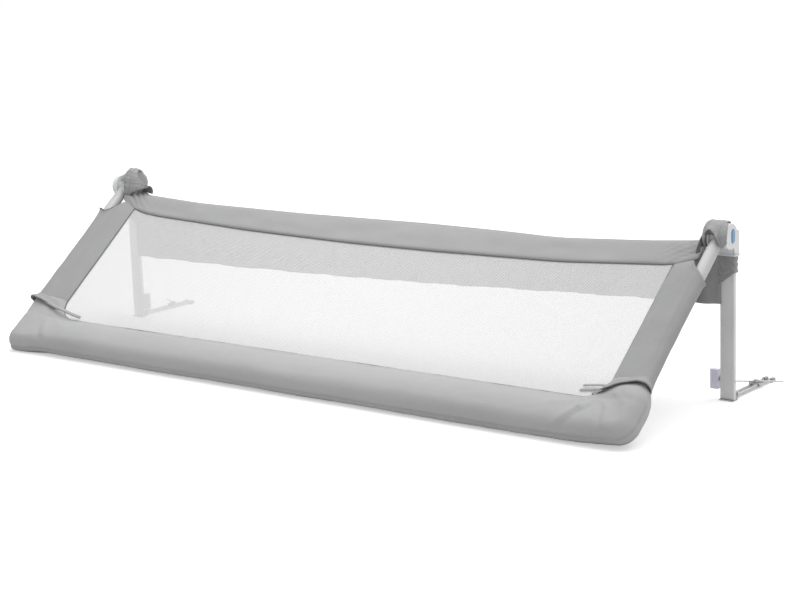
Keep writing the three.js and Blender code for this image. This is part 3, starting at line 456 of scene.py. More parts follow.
def rail_pad():
    straight_steps, count = 170, 132
    left = [((-c[0], c[1]), (-m[0], m[1]), r) for c, m, r in corner_path("left")]
    right = corner_path("right")[::-1]
    path = list(left)
    for i in range(1, straight_steps):
        t = i / straight_steps
        (a_core, a_seam, _), (b_core, b_seam, _) = left[-1], right[0]
        path.append(((between(a_core[0], b_core[0], t), REACH), (between(a_seam[0], b_seam[0], t), SEAM_S),
                     PAD_RADIUS))
    path += right
    rings = []
    for core, seam, radius in path:
        ends = smooth(SKIN_RADIUS, PAD_RADIUS, radius)
        # The filling is a little slack along the rail, so its width and height wander
        slack = 0.0011 * wobble((core[0], 0, 0), 0.11, 21.0) * ends
        bow = 0.0012 * wobble((seam[0], 0, 0), 0.16, 14.0) * ends
        section = sleeve_section(core, (seam[0], seam[1] + bow), radius, count, crease=PAD_CREASE * ends)
        ring = []
        for x, s, n in section:
            p = panel(x, s, n)
            out = Vector((x - core[0], 0, 0)) + REACH_AXIS * (s - core[1]) * 0.4 + FRONT_AXIS * n
            out.normalize()
            swell = slack + 0.0012 * wobble((x * 0.4, s, n), 0.040, 3.1)
            swell += 0.0005 * wobble((x, s, n), 0.015, 7.7)
            if n > 0:
                # Folds, the groove along the seam and the puckers that its thread pulls
                swell += ridge(x, s, PAD_FOLDS) * (0.3 + 0.7 * ends)
                swell -= 0.0014 * hump(s, SEAM_S + 0.007, 0.004) * ends
                pucker = max(0.0, sin(x * 170 + 5 * wobble((x, 0, 0), 0.09, 5.0)))
                swell -= 0.0008 * pucker * hump(s, SEAM_S + 0.010, 0.012) * ends
            p += out * swell
            if n < 0:
                p.z = max(p.z, FLOOR_GAP)
            ring.append(p)
        rings.append(ring)
    obj = outward(loft("rail_pad", rings, fabric, caps=True))
    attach(obj, "guard")
    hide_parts("rail_sleeve")


# Sleeves over the side tubes
CUFF = {
    "right": [(0.660, 0.0735), (0.690, 0.0645), (0.7015, 0.0605), (0.7075, 0.073), (0.719, 0.086),
              (0.730, 0.095), (0.7415, 0.108)],
    "left": [(0.640, 0.0665), (0.650, 0.0625), (0.684, 0.0475), (0.693, 0.0465), (0.7000, 0.0490),
             (0.7060, 0.0650), (0.7105, 0.0860), (0.7150, 0.0890), (0.728, 0.084), (0.7415, 0.079)],
}
HEM = {
    "right": [(0.640, 0.366), (0.660, 0.360), (0.693, 0.349), (0.722, 0.340), (0.735, 0.338), (0.746, 0.345)],
    "left": [(0.575, 0.372), (0.622, 0.362), (0.700, 0.345), (0.752, 0.335)],
}
# How the cuff turns in over a soft edge and runs a little way back inside: (inwards, down)
CUFF_TURN = [(0.0010, -0.0007), (0.0020, 0.0002), (0.0030, 0.004), (0.0040, 0.009)]
SIDE_SEED = {"left": 23.0, "right": 11.0}


def out_of_tube(x, n):
    return Vector((x - ARM_X, 0, n)).normalized() if x > ARM_X else Vector((0, 0, 1 if n > 0 else -1))


def side_cover(side):
    """The sleeve over one side tube, from its flared cuff to the hem."""
    sign = SIGN[side]
    steps, count = 72, 60
    seam_x, seed = WINDOW_X[side], SIDE_SEED[side]
    shell = []
    for i in range(steps + 1):
        t = i / steps
        section = sleeve_section((ARM_X, 0), (seam_x, 0), SLEEVE_RADIUS, count, fall=1.12)
        ring = []
        for x, _, n in section:
            top, bottom = line(CUFF[side], x), line(HEM[side], x) - 0.005
            s = between(top, bottom, t)
            down = s - top
            flare = 0.0020 * exp(-down / 0.006)
            slim = 0.0024 * sin(pi * t) ** 0.5
            out = out_of_tube(x, n)
            shift = flare - slim * smooth(seam_x, ARM_X, x)
            shift += 0.0013 * wobble((x, s * 0.30, n), 0.017, seed)
            shift += 0.0008 * wobble((x, s, n), 0.03, seed + 5)
            pull = smooth(0.0, 0.3, 1 - t) * smooth(0.0, 0.08, t)
            if n > 0:
                # A ridge over the tube, a hollow beside it and puckers at the seam
                shift += 0.0022 * hump(x, 0.7235, 0.0032) * pull
                shift -= 0.0022 * hump(x, 0.7020, 0.011) * pull
                pucker = max(0.0, sin(s * 260 + x * 400)) ** 2
                shift += 0.0012 * pucker * smooth(seam_x + 0.02, seam_x, x) * pull
            # Near the band the sleeve flattens into the seam that joins them
            flat = 1 - 0.88 * exp(-down / 0.014) * smooth(0.7115, 0.7030, x)
            if x <= seam_x + 1e-6:
                shift *= 0.3
            ring.append((x + out.x * shift, s, (n + out.z * shift) * flat))
        shell.append(ring)
    inner = []
    for inset, drop in CUFF_TURN:
        ring = []
        for x, s, n in shell[0]:
            scale = max(0.1, 1 - inset / max(0.0035, abs(n)))
            nx = ARM_X + (x - ARM_X) * (1 - inset / SLEEVE_RADIUS) if x > ARM_X else x + inset * 0.3
            ring.append((nx, s + drop, n * scale))
        inner.append(ring)
    rings = [[panel(sign * x, s, n) for x, s, n in ring] for ring in inner[::-1] + shell]
    # On the left a near-black cord along the cuff's edge paints the shade under it
    if side == "left":
        edge = [panel(sign * x, s - 0.0004, n + 0.0002) for x, s, n in shell[0] if n > 0.003]
        piping("cuff_edge_left", edge, 0.0010, "guard", painted_shade_fabric)
    # The sleeve's darker copy of the grey cloth is painted shade
    obj = outward(loft(f"side_cover_{side}", rings, fabric_side_painted_shade))
    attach(obj, "guard")
    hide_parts(f"side_sleeve_{side}")


# The hem's profile, (down, outwards): up to HEM_FACING the outside, then the facing turned under it, which
# gets the near-black cloth as painted shadow under the hem
HEM_PROFILE = [(-0.0165, -0.0002), (-0.0150, 0.0010), (-0.0120, 0.0014), (-0.0080, 0.0030), (-0.0045, 0.0052),
               (-0.0012, 0.0072), (0.0012, 0.0080), (0.0028, 0.0074), (0.0030, 0.0060), (0.0012, 0.0050),
               (-0.0030, 0.0036), (-0.0090, 0.0010), (-0.0150, -0.0012)]
HEM_FACING = 7
HEM_SEAM_X = 0.643
HEM_LIFT = {"left": 1.6, "right": 1.45}


def hem_roll(side):
    """The flared double hem that laps over the padded sleeve's end, open below."""
    sign = SIGN[side]
    count = 60
    section = sleeve_section((ARM_X, 0), (HEM_SEAM_X, 0), SLEEVE_RADIUS, count, fall=1.05)
    rings = []
    for drop, rise in HEM_PROFILE:
        ring = []
        for x, _, n in section:
            out = out_of_tube(x, n)
            # It stands out most over the tube, less towards the window, and hardly at all behind
            show = HEM_LIFT[side] * (0.35 + 0.65 * smooth(-0.004, 0.010, n))
            show *= 0.12 + 0.63 * smooth(0.644, 0.670, x) + 0.25 * smooth(0.672, 0.700, x)
            push = rise * show - 0.0016 * smooth(0.672, ARM_X, x)
            push += 0.0010 * wobble((x, drop * 0.3, n), 0.012, 4.0) * smooth(-0.016, 0.0, drop)
            short = 0.22 + 0.78 * smooth(0.646, 0.674, x)
            ring.append(panel(sign * (x + out.x * push), line(HEM[side], x) + drop * short, n + out.z * push))
        rings.append(ring)
    obj = outward(loft(f"hem_roll_{side}", rings, fabric_side_painted_shade))
    # The faces turned under the hem get the near-black cloth: painted shadow under the hem
    obj.data.materials.append(painted_shade_fabric)
    for i, polygon in enumerate(obj.data.polygons):
        polygon.material_index = int(i // count >= HEM_FACING)
    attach(obj, "guard")
    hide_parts(f"hem_tab_{side}")


# The hems' flat ends: name, places (x, s, n), width and thickness
HEM_TABS = [
    ("hem_tab_upper_right", [(0.6835, 0.3504, 0.0130), (0.6680, 0.3487, 0.0082), (0.6509, 0.3476, 0.0048),
                             (0.6320, 0.3492, 0.0032), (0.6205, 0.3516, 0.0030)], 0.0042, 0.0014),
    ("hem_tab_lower_right", [(0.6835, 0.3545, 0.0115), (0.6691, 0.3540, 0.0068), (0.6524, 0.3548, 0.0030),
                             (0.6342, 0.3572, 0.0014), (0.6174, 0.3602, 0.0014)], 0.0042, 0.0014),
    ("hem_tab_left", [(-0.690, 0.3480, 0.0175), (-0.6566, 0.3559, 0.0150), (-0.6218, 0.3616, 0.0110),
                      (-0.6048, 0.3641, 0.0080), (-0.5800, 0.3672, 0.0050)], 0.0066, 0.0034),
]


def flat_tab(name, places, width, thick):
    """A flat strip that lies along places (x, s, n) on the guard."""
    rings = []
    for i, (x, s, n) in enumerate(places):
        a, b = places[max(0, i - 1)], places[min(len(places) - 1, i + 1)]
        dx, ds = b[0] - a[0], b[1] - a[1]
        length = hypot(dx, ds)
        wx, ws = -ds / length * width / 2, dx / length * width / 2
        edge = thick * 0.35
        rings.append([
            panel(x - wx, s - ws, n + thick / 2), panel(x - wx * 0.9, s - ws * 0.9, n + thick),
            panel(x + wx * 0.9, s + ws * 0.9, n + thick), panel(x + wx, s + ws, n + thick / 2),
            panel(x + wx * 0.9, s + ws * 0.9, n + edge), panel(x - wx * 0.9, s - ws * 0.9, n + edge)])
    obj = outward(loft(name, rings, fabric, caps=True))
    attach(obj, "guard")


# Band across the top, folded over and gathered at both ends
BAND_TOP = [(-0.707, 0.010), (-0.690, 0.004), (-0.668, 0.006), (-0.652, 0.013), (-0.639, 0.020),
            (-0.483, 0.030), (-0.204, 0.033), (0.112, 0.030), (0.283, 0.032), (0.418, 0.036),
            (0.598, 0.024), (0.674, 0.016), (0.707, 0.012)]
BAND_LOW = [(-0.707, 0.038), (-0.687, 0.0480), (-0.650, 0.0640), (-0.598, 0.0755), (-0.300, 0.091),
            (-0.036, 0.097), (0.151, 0.097), (0.445, 0.092), (0.584, 0.081), (0.651, 0.076), (0.672, 0.072),
            (0.694, 0.063), (0.707, 0.054)]
BAND_END, BAND_TIP = 0.7055, 0.707


def fine_line(rows, x):
    """The rows' line with its corners rounded off, apart from the gathered ends."""
    if abs(x) >= 0.60:
        return line(rows, x)
    shifts = (-0.03, -0.02, -0.01, 0, 0.01, 0.02, 0.03)
    return sum(line(rows, x + shift) for shift in shifts) / len(shifts)


def band_cover():
    steps, half = 240, 10
    # The rings lie closer together towards the gathered ends
    spread = pi * 0.985
    rings = []
    for i in range(steps + 1):
        x = BAND_END * sin((i / steps - 0.5) * spread) / sin(0.5 * spread)
        top, low = fine_line(BAND_TOP, x), fine_line(BAND_LOW, x)
        gather = smooth(0.585, 0.700, abs(x))
        front, back = [], []
        for j in range(half + 1):
            t = j / half
            s = between(top, low, t)
            # Round and full where it is folded over, and thin at its edges
            roll = sin(pi * min(1, 0.5 + t * 2.2) * 0.999)
            thick = (0.0030 + 0.0016 * (1 - roll)) if j else 0.0006
            if j == half:
                thick = 0.0016
            bulge = 0.0022 * wobble((x * 0.25, s, 0), 0.028, 2.0)
            bulge += 0.0012 * wobble((x, s * 2, 0), 0.05, 1.0)
            # Folds that sweep from the lower edge up into the hinge
            sweep = (s - top) - 0.55 * (BAND_TIP - abs(x)) + 0.004 * wobble((x, s, 0), 0.04, 9.0)
            bulge += 0.0034 * gather * sin(sweep * 430)
            lift = bulge * sin(pi * min(1, t * 1.02)) ** 0.6
            front.append(panel(x, s, thick * 0.5 + lift))
            back.append(panel(x, s, -thick * 0.5 + lift * 0.5))
        rings.append(front + back[:0:-1])
    # The band's darker copy of the grey cloth is painted shade
    obj = outward(loft("band_cover", rings, fabric_band_painted_shade, caps=True))
    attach(obj, "guard")
    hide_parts("guard_band")


# Net
def window_side(s, side):
    """How far out the window reaches on one side, at a distance s down the guard."""
    seam_x, round_ = WINDOW_X[side], WINDOW_BEND[side]
    if s <= SEAM_S - round_:
        return seam_x
    drop = s - (SEAM_S - round_)
    return seam_x - round_ + sqrt(max(0, round_ ** 2 - drop ** 2))


def inside_window(x, s):
    """Whether the net is there: it laps a little under the band and the seams."""
    lap, band_lap = 0.001, 0.003
    side = "right" if x > 0 else "left"
    return line(BAND_LOW, x) - band_lap < s < SEAM_S + lap and abs(x) < window_side(s, side) + lap


def net_sag(x, s):
    """How far the stretched net hangs below the window's plane."""
    top, half_width, depth = 0.066, 0.66, 0.0016
    return -depth * sin(pi * (s - top) / (SEAM_S - top)) * cos(x / half_width * pi / 2)


NET_APART = 0.0001  # of each layer of strands, from the net's middle


def net_mesh():
    """Diagonal strands in two directions, each cut to the window's outline."""
    pitch, half, thick, piece = 0.0023 * sqrt(2), 0.00060, 0.00036, 0.021
    low, high, fine, end = 0.050, SEAM_S + 0.001, 0.0015, 0.68
    points, faces, uvs = [], [], []
    for lean in (1, -1):
        for i in range(int((2 * end + high - low) / pitch) + 1):
            x0 = (-end - (high - low) if lean > 0 else -end) + pitch * i
            samples = [low + fine * k for k in range(int((high - low) / fine) + 1)]
            inside = [s for s in samples if inside_window(x0 + lean * (s - low), s)]
            if len(inside) < 3:
                continue
            first, last = inside[0] - fine, inside[-1] + fine
            parts = max(1, round((last - first) / piece))
            across = Vector((1, -lean, 0)).normalized() * half
            base = None
            for k in range(parts + 1):
                s = between(first, last, k / parts)
                x = x0 + lean * (s - low)
                mid = NET_APART * lean + net_sag(x, s)
                start = len(points)
                points += [panel(x - across.x, s - across.y, mid), panel(x, s, mid + thick),
                           panel(x + across.x, s + across.y, mid)]
                uvs += [(s, 0), (s, half), (s, 2 * half)]
                if base is not None:
                    for j in range(2):
                        faces.append((base + j, base + j + 1, start + j + 1, start + j))
                base = start
    obj = object_from("net_mesh", points, faces, uvs, netting)
    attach(obj, "guard")
    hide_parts("net_window")


def window_outline():
    """(x, s) once round the window's edge."""
    step, corner_steps = 0.02, 12
    left, right = WINDOW_X["left"], WINDOW_X["right"]
    left_bend, right_bend = WINDOW_BEND["left"], WINDOW_BEND["right"]
    outline = []
    for i in range(67):
        x = -left + i * step
        if x < right:
            outline.append((x, fine_line(BAND_LOW, x)))
    s = fine_line(BAND_LOW, right)
    while s < SEAM_S - right_bend:
        outline.append((right, s))
        s += step
    for i in range(corner_steps + 1):
        a = pi / 2 * i / corner_steps
        outline.append((right - right_bend + right_bend * cos(a),
                        SEAM_S - right_bend + right_bend * sin(a)))
    x = right - right_bend - step
    while x > left_bend - left:
        outline.append((x, SEAM_S))
        x -= step
    for i in range(corner_steps + 1):
        a = pi / 2 * (1 - i / corner_steps)
        outline.append((left_bend - left - left_bend * cos(a),
                        SEAM_S - left_bend + left_bend * sin(a)))
    s = SEAM_S - left_bend - step
    while s > fine_line(BAND_LOW, -left) + step / 2:
        outline.append((-left, s))
        s -= step
    return outline


PIPE_SIDES, PIPE_TAPER = 8, 0.55


def tube_along(points, radius, closed):
    """Rings of points round a path in space; an open one tapers at its ends."""
    rings = []
    count = len(points)
    last = None
    for i, p in enumerate(points):
        a = points[(i - 1) % count] if closed or i else p
        b = points[(i + 1) % count] if closed or i < count - 1 else p
        forward = (b - a).normalized()
        if last is None:
            last = FRONT_AXIS if abs(forward.dot(FRONT_AXIS)) < 0.9 else Vector((1, 0, 0))
        side = forward.cross(last).normalized()
        last = side.cross(forward).normalized()
        r = radius
        if not closed:
            tail = min(i, count - 1 - i)
            r = radius * (PIPE_TAPER if tail == 0 else (1 + PIPE_TAPER) / 2 if tail == 1 else 1)
        angles = [k * 2 * pi / PIPE_SIDES for k in range(PIPE_SIDES)]
        rings.append([p + (side * cos(angle) + last * sin(angle)) * r for angle in angles])
    if closed:
        rings.append(rings[0])
    return rings


def piping(name, points, radius, body, material, closed=False):
    """A round edge along a path in space; without a body it is bound to none."""
    obj = outward(loft(name, tube_along(points, radius, closed), material, caps=not closed))
    if body:
        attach(obj, body)
    return obj


THREAD_HALF, THREAD_HEIGHT = 0.00032, 0.00042
# One stitch from end to end: (along, width, height), as shares
STITCH = ((-0.5, 0.3, 0.0), (-0.3, 1.0, 0.9), (0.3, 1.0, 0.9), (0.5, 0.3, 0.0))


def stitches(name, points, length, gap, body, material):
    """A row of short raised threads along a path in space; each point carries its surface direction."""
    verts, faces, uvs = [], [], []
    travelled, next_at = 0.0, gap
    for (p, up), (q, _) in zip(points, points[1:]):
        step = (q - p).length
        if step < 1e-6:
            continue
        forward = (q - p) / step
        side = forward.cross(up).normalized()
        while next_at < travelled + step:
            mid = p + forward * (next_at - travelled)
            base = len(verts)
            for along, wide, high in STITCH:
                at, reach = mid + forward * along * length, side * THREAD_HALF * wide
                verts.extend([at - reach, at + up * THREAD_HEIGHT * high, at + reach])
                uvs.extend([(along * length, 0), (along * length, 0.0003), (along * length, 0.0006)])
            for k in range(3):
                for m in range(2):
                    a = base + 3 * k + m
                    faces.append((a, a + 1, a + 4, a + 3))
            next_at += length + gap
        travelled += step
    obj = object_from(name, verts, faces, uvs, material)
    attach(obj, body)


# Skirt behind the band, held by a loop round each post
SKIRT_LOW = [(-0.713, 0.139), (-0.388, 0.141), (-0.117, 0.146), (0.133, 0.153), (0.385, 0.163),
             (0.596, 0.170), (0.713, 0.172)]
SKIRT_Y = HINGE_Y + 0.0105
SKIRT_TOP = 0.262
SKIRT_END = 0.7190
LOOP_FACE = 0.0052
SKIRT_FOLD = 0.22  # the share of its rows that bridges from the band


def skirt_cloth():
    """The limp cloth from the band's fold back to the posts' plane and down, in waves."""
    across, down = 260, 34
    rows = []
    for i in range(across + 1):
        x = SKIRT_END * (2 * i / across - 1)
        ease = smooth(0, 0.030, SKIRT_END - abs(x))
        fold_at = panel(max(-BAND_END, min(BAND_END, x)), fine_line(BAND_TOP, x) + 0.004, -0.0022)
        low = line(SKIRT_LOW, x)
        top = SKIRT_TOP + 0.003 * (1 - ease)
        plane = between(SKIRT_Y, POST_Y - LOOP_FACE, 1 - ease)
        fold_at = fold_at.lerp(Vector((x, plane, top + 0.004)), smooth(0.690, 0.702, abs(x)))
        row = []
        for j in range(down + 1):
            t = j / down
            if t < SKIRT_FOLD:
                u = t / SKIRT_FOLD
                p = fold_at.lerp(Vector((x, plane, top)), u)
                p.z -= 0.006 * sin(pi * u) * smooth(0.702, 0.690, abs(x))
            else:
                u = (t - SKIRT_FOLD) / (1 - SKIRT_FOLD)
                p = Vector((x, plane, between(top, low, u)))
                wave = sin(x * 52 + 1.6 * sin(x * 9))
                wave += 0.5 * sin(x * 127 + 2 * sin(x * 14))
                p.y += 0.0034 * wave * (0.30 + 0.70 * u) * ease
                p.y += 0.0022 * wobble((x, 0, p.z * 0.4), 0.035, 6.0) * ease
                p.y += 0.0008 * wobble(p, 0.018, 8.0)
                p.y += 0.0010 * hump(u, 0.955, 0.008)
            row.append(p)
        rows.append(row)
    # The skirt's darker copy of the grey cloth is painted shade
    obj = loft("skirt_cloth", rows, fabric_shaded, closed=False)
    thicken(obj, THIN_CLOTH, 0)
    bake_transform(obj)
    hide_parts("hanging_skirt")


def post_loop(side):
    """The tube of cloth that holds the skirt's end round its post."""
    sign = SIGN[side]
    around, down = 72, 26
    half_x, half_y, top, square = 0.0164, 0.0064, 0.2575, 0.45
    rings = []
    for j in range(down + 1):
        t = j / down
        ring = []
        for i in range(around):
            angle = 2 * pi * i / around
            c, s = cos(angle), sin(angle)
            px = copysign(abs(c) ** square, c) * half_x
            py = copysign(abs(s) ** square, s) * half_y
            low = 0.206 + 0.024 * (px + half_x) / (2 * half_x)
            z = between(top, low, t)
            crease = sin((px * 0.9 + (z - 0.23)) * 520 + 2 * wobble((px, py, z), 0.012, sign))
            puff = 0.0007 * crease + 0.0007 * wobble((px, py, z), 0.009, 3.0 + sign)
            out = Vector((px / half_x, py / half_y, 0)).normalized()
            ring.append(Vector((sign * (POST_X + px + out.x * puff), POST_Y + py + out.y * puff, z)))
        rings.append(ring)
    # The loop's darker copy of the grey cloth is painted shade
    obj = outward(loft(f"loop_{side}", rings, fabric_shaded))
    thicken(obj, CLOTH, 0)
    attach(obj, f"post_{side}")
    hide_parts(f"post_loop_{side}")


# Hoods over the hinges, by angle round the hinge line: 0 points back, 90 up
HOOD_START, HOOD_STOP = -20, 234
HOOD_SIDE_X = 0.7062  # the inner side ends here and the top begins
HOOD_SEED = {"left": 15.0, "right": 5.0}
HOOD_LUMP = {"left": 1.9, "right": 1.0}
# The radius at each angle
HOOD_BASE = [(-20, 0.0318), (0, 0.0298), (14, 0.0305), (26, 0.0322), (40, 0.0298), (56, 0.0272),
             (74, 0.0262), (95, 0.0254), (236, 0.0250)]
HOOD_R = {
    "right": HOOD_BASE,
    "left": [(-20, 0.0330), (0, 0.0330), (20, 0.0345), (39, 0.0352), (56, 0.0372), (76, 0.0388),
             (93, 0.0400), (106, 0.0388), (119, 0.0352), (132, 0.0318), (143, 0.0288), (160, 0.0264),
             (186, 0.0256), (236, 0.0252)],
}
# How far out the fabric reaches over the housing
HOOD_EDGE = {
    "right": [(-20, 0.727), (0, 0.728), (45, 0.732), (80, 0.737), (107, 0.7415), (123, 0.746), (145, 0.749),
              (164, 0.7505), (201, 0.750), (229, 0.742), (236, 0.738)],
    "left": [(-20, 0.728), (45, 0.733), (76, 0.734), (98, 0.7290), (116, 0.7215), (130, 0.7130),
             (146, 0.7080), (165, 0.7068), (236, 0.7068)],
}
# The angle at which the fabric ends in front at each x: an arch over the right arm
HOOD_END = {
    "right": [(0.7035, 234), (0.7064, 232), (0.7085, 226), (0.7098, 206), (0.7106, 168), (0.7128, 157),
              (0.7166, 151.2), (0.7206, 152.5), (0.7264, 162.7), (0.7297, 171.3), (0.7337, 181.5),
              (0.7355, 196), (0.7380, 215), (0.7420, 227), (0.7520, 227)],
    "left": [(0.69, 234), (0.75, 234)],
}
# The inner side: x, and its share of the radius there
HOOD_FACE = {
    "right": [(0.7036, 0.02), (0.7030, 0.25), (0.7027, 0.50), (0.7028, 0.72), (0.7034, 0.86),
              (0.7045, 0.95), (0.7062, 1.0)],
    "left": [(0.6932, 0.02), (0.6926, 0.30), (0.6922, 0.60), (0.6921, 0.80), (0.6924, 0.93),
             (0.6945, 0.985), (0.7010, 1.0), (0.7062, 0.985)],
}
# The lining's rows: the share of the edge's radius, and the angle past it
LINING = ((1.0, 0.0), (0.93, 2.0), (0.82, 6.0), (0.74, 12.0))
LINING_LEAST = 0.0192


def follow_swing(obj):
    """Bakes the piece's placement into its mesh and binds it to no body."""
    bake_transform(obj)


def hood_place(x, angle, r):
    a = radians(angle)
    return HINGE + Vector((x, 0, 0)) + Vector((0, cos(a), sin(a))) * r


def hood(side):
    """A soft cap over the hinge: inner side, top and front, with an edge that leaves the arm free."""
    sign = SIGN[side]
    seed, lump = HOOD_SEED[side], HOOD_LUMP[side]
    steps, ribs = 96, 26
    face = HOOD_FACE[side]
    rings = []
    for i in range(steps + 1):
        share = i / steps
        reach = table(HOOD_EDGE[side], between(HOOD_START, HOOD_STOP, share))
        columns = [(between(HOOD_SIDE_X, reach, (k + 1) / ribs), face[-1][1]) for k in range(ribs)]
        ring = []
        for x, part in face + columns:
            last = line(HOOD_END[side], x)
            angle = between(HOOD_START, last, share)
            r = between(table(HOOD_R[side], angle), table(HOOD_BASE, angle), smooth(HOOD_SIDE_X, 0.7175, x))
            near = smooth(26, 0, last - angle) * (smooth(0.706, 0.712, x) if side == "right" else 0)
            grown = r * part + 0.0030 * near * smooth(0.745, 0.735, x)
            soft = min(1, part * 1.2)
            grown += lump * 0.0009 * wobble((x * 1.2, angle * 0.0005, sign * 0.1), 0.009, seed) * soft
            grown += lump * 0.0006 * wobble((x, angle * 0.0004, sign * 0.2), 0.004, seed + 2) * soft
            if side == "right":
                # Standing folds in the hem beside the housing
                fold = hump(x, 0.7350, 0.0016) - 0.8 * hump(x, 0.7385, 0.0016) + 0.8 * hump(x, 0.7425, 0.0018)
                grown += 0.0012 * fold * smooth(80, 110, angle) * smooth(226, 205, angle)
            else:
                grown += 0.0018 * smooth(0.0045, 0, reach - x) * hump(angle, 116, 16)
                grown += 0.0016 * sin((x + angle * 0.00025) * 700) * hump(angle, 95, 45) * soft
            ring.append(hood_place(sign * x, angle, max(grown, r * part * 0.96)))
        rings.append(ring)
    # The hood's darker copy of the grey cloth is painted shade
    obj = outward(loft(f"hood_{side}", rings, fabric_hood_painted_shade, closed=False))
    thicken(obj, CLOTH, 1)
    follow_swing(obj)
    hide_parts(f"hinge_hood_{side}")
    follow_swing(piping(f"hood_edge_{side}", [ring[-1] for ring in rings], 0.0010, None, fabric_hood_painted_shade))
    if side == "left":
        return
    # The arch over the right arm, and the lining that shows inside it, both in near-black cloth: painted
    # shade inside the opening
    edge = [p for p in rings[-1] if 0.7085 < p.x < 0.7375]
    follow_swing(piping("hood_arch_right", edge, 0.0013, None, painted_shade_fabric))
    lining = []
    for keep, drop in LINING:
        ring = []
        for p in edge:
            dy, dz = p.y - HINGE_Y, p.z - HINGE_Z
            angle = degrees(atan2(dz, dy)) % 360
            ring.append(hood_place(p.x, angle + drop, max(LINING_LEAST, hypot(dy, dz) * keep)))
        lining.append(ring)
    inside = loft("hood_lining_right", lining, painted_shade_fabric, closed=False)
    thicken(inside, THIN_CLOTH)
    follow_swing(inside)


# The loose fabric beside the left hood: its largest radius at each x
COLLAR_TOP = [(0.636, 0.0190), (0.648, 0.0225), (0.658, 0.0262), (0.665, 0.0292), (0.675, 0.0340),
              (0.687, 0.0362), (0.6912, 0.0374)]
COLLAR_X = 0.6912
COLLAR_START, COLLAR_STOP = 64, 214
COLLAR_HEM = 74  # the first ring with piping on its edge
# How far in along the band it reaches at each angle
COLLAR_EDGE = [(64, 0.6906), (90, 0.6860), (112, 0.6770), (130, 0.6650), (146, 0.6500), (156, 0.6410),
               (166, 0.6400), (174, 0.6480), (182, 0.6600), (191, 0.6726), (200, 0.6835), (207, 0.6905),
               (214, 0.6905)]


def collar_left():
    """The loose fabric that runs from the left hood down over the band's end."""
    rings, steps, columns = [], 120, 26
    largest = max(r for _, r in HOOD_R["left"])
    for i in range(steps + 1):
        angle = between(COLLAR_START, COLLAR_STOP, i / steps)
        inner = line(COLLAR_EDGE, angle)
        shape = table(HOOD_R["left"], angle) / largest
        ring = []
        for j in range(columns + 1):
            t = j / columns
            x = between(COLLAR_X, inner, t)
            r = line(COLLAR_TOP, x) * between(shape, 1, 0.6 * smooth(0.690, 0.650, x))
            r = max(r, 0.0246 * smooth(120, 165, angle) * smooth(0.648, 0.664, x))
            r += 0.0015 * t * wobble((x, angle * 0.0005, 0.4), 0.010, 31.0)
            r += 0.0011 * t * sin(x * 620 - angle * 0.05)
            ring.append(hood_place(-x, angle, r))
        rings.append(ring)
    # The collar's darker copy of the grey cloth is painted shade
    obj = outward(loft("collar_left", rings, fabric_hood_painted_shade, closed=False))
    thicken(obj, CLOTH, 0)
    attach(obj, "guard")
    # A near-black cord on its lower edge paints the shade under the hem
    piping("collar_hem_left", [ring[-1] for ring in rings[COLLAR_HEM:]], 0.0012, "guard", painted_shade_fabric)


def collar_fold():
    """The far side of the left collar's opening, which closes down on the band's end; its near-black cloth is
    painted shade.
    """
    depth = 0.034
    edge = [(0.6402, 0.0096, 0.0168), (0.6390, 0.0072, 0.0140), (0.6376, 0.0066, 0.0100),
            (0.6364, 0.0080, 0.0058), (0.6356, 0.0108, 0.0022), (0.6360, 0.0150, -0.0012)]
    rings = []
    for i in range(21):
        at = i / 20 * (len(edge) - 1)
        k = min(len(edge) - 2, int(at))
        x, s, n = (between(a, b, at - k) for a, b in zip(edge[k], edge[k + 1]))
        ring = []
        for j in range(9):
            t = j / 8
            swell = 1 + 0.10 * sin(pi * t) + 0.05 * wobble((x + t, s, n), 0.2, 17.0)
            ring.append(panel(-(x + depth * t), s * (1 - 0.6 * t) * swell, n * (1 + 0.1 * t) * swell))
        rings.append(ring)
    obj = outward(loft("collar_fold_left", rings, painted_shade_fabric, closed=False))
    thicken(obj, THIN_CLOTH)
    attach(obj, "guard")
    piping("collar_fold_edge_left", [ring[0] for ring in rings], 0.0011, "guard", painted_shade_fabric)


def collar_right():
    """The flap that stands up beside the right arm where band and sleeve meet; its near-black cloth is
    painted shade inside the hood's rim.
    """
    edge = [(-0.006, 0.0060), (0.0, 0.0095), (0.009, 0.0118), (0.018, 0.0125), (0.030, 0.0125),
            (0.040, 0.0110), (0.047, 0.0060)]
    rings = []
    for i in range(31):
        s = between(edge[0][0], edge[-1][0], i / 30)
        top = table(edge, s)
        ring = []
        for j in range(13):
            t = j / 12
            n = between(-0.004, top, t)
            lean = 0.0026 * t ** 2 - 0.0012 * sin(pi * t)
            ring.append(panel(0.7026 - lean + 0.0004 * wobble((s, n, 0), 0.006, 3), s, n))
        rings.append(ring)
    obj = outward(loft("collar_right", rings, painted_shade_fabric, closed=False))
    thicken(obj, CLOTH)
    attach(obj, "guard")
    piping("collar_edge_right", [ring[-1] for ring in rings], 0.0009, "guard", fabric)


def seam_rows():
    """Piping round the net, its near-black colour painted shade, and a row of stitches along the band's lower
    edge.
    """
    outline = window_outline()
    piping("window_piping", [panel(x, s, 0.0012) for x, s in outline], 0.0011, "guard",
           painted_shade_fabric, closed=True)
    lower, steps, inset, proud = [], 280, 0.0052, 0.0038
    for i in range(steps + 1):
        x = between(-0.64, 0.65, i / steps)
        lower.append((panel(x, fine_line(BAND_LOW, x) - inset, proud), FRONT_AXIS))
    stitches("band_stitches", lower, 0.0026, 0.0013, "guard", thread)


rail_pad()
band_cover()
net_mesh()
skirt_cloth()
seam_rows()
collar_left()
collar_fold()
collar_right()
for side in ("left", "right"):
    side_cover(side)
    hem_roll(side)
    post_loop(side)
    hood(side)
for name, places, width, thick in HEM_TABS:
    flat_tab(name, places, width, thick)


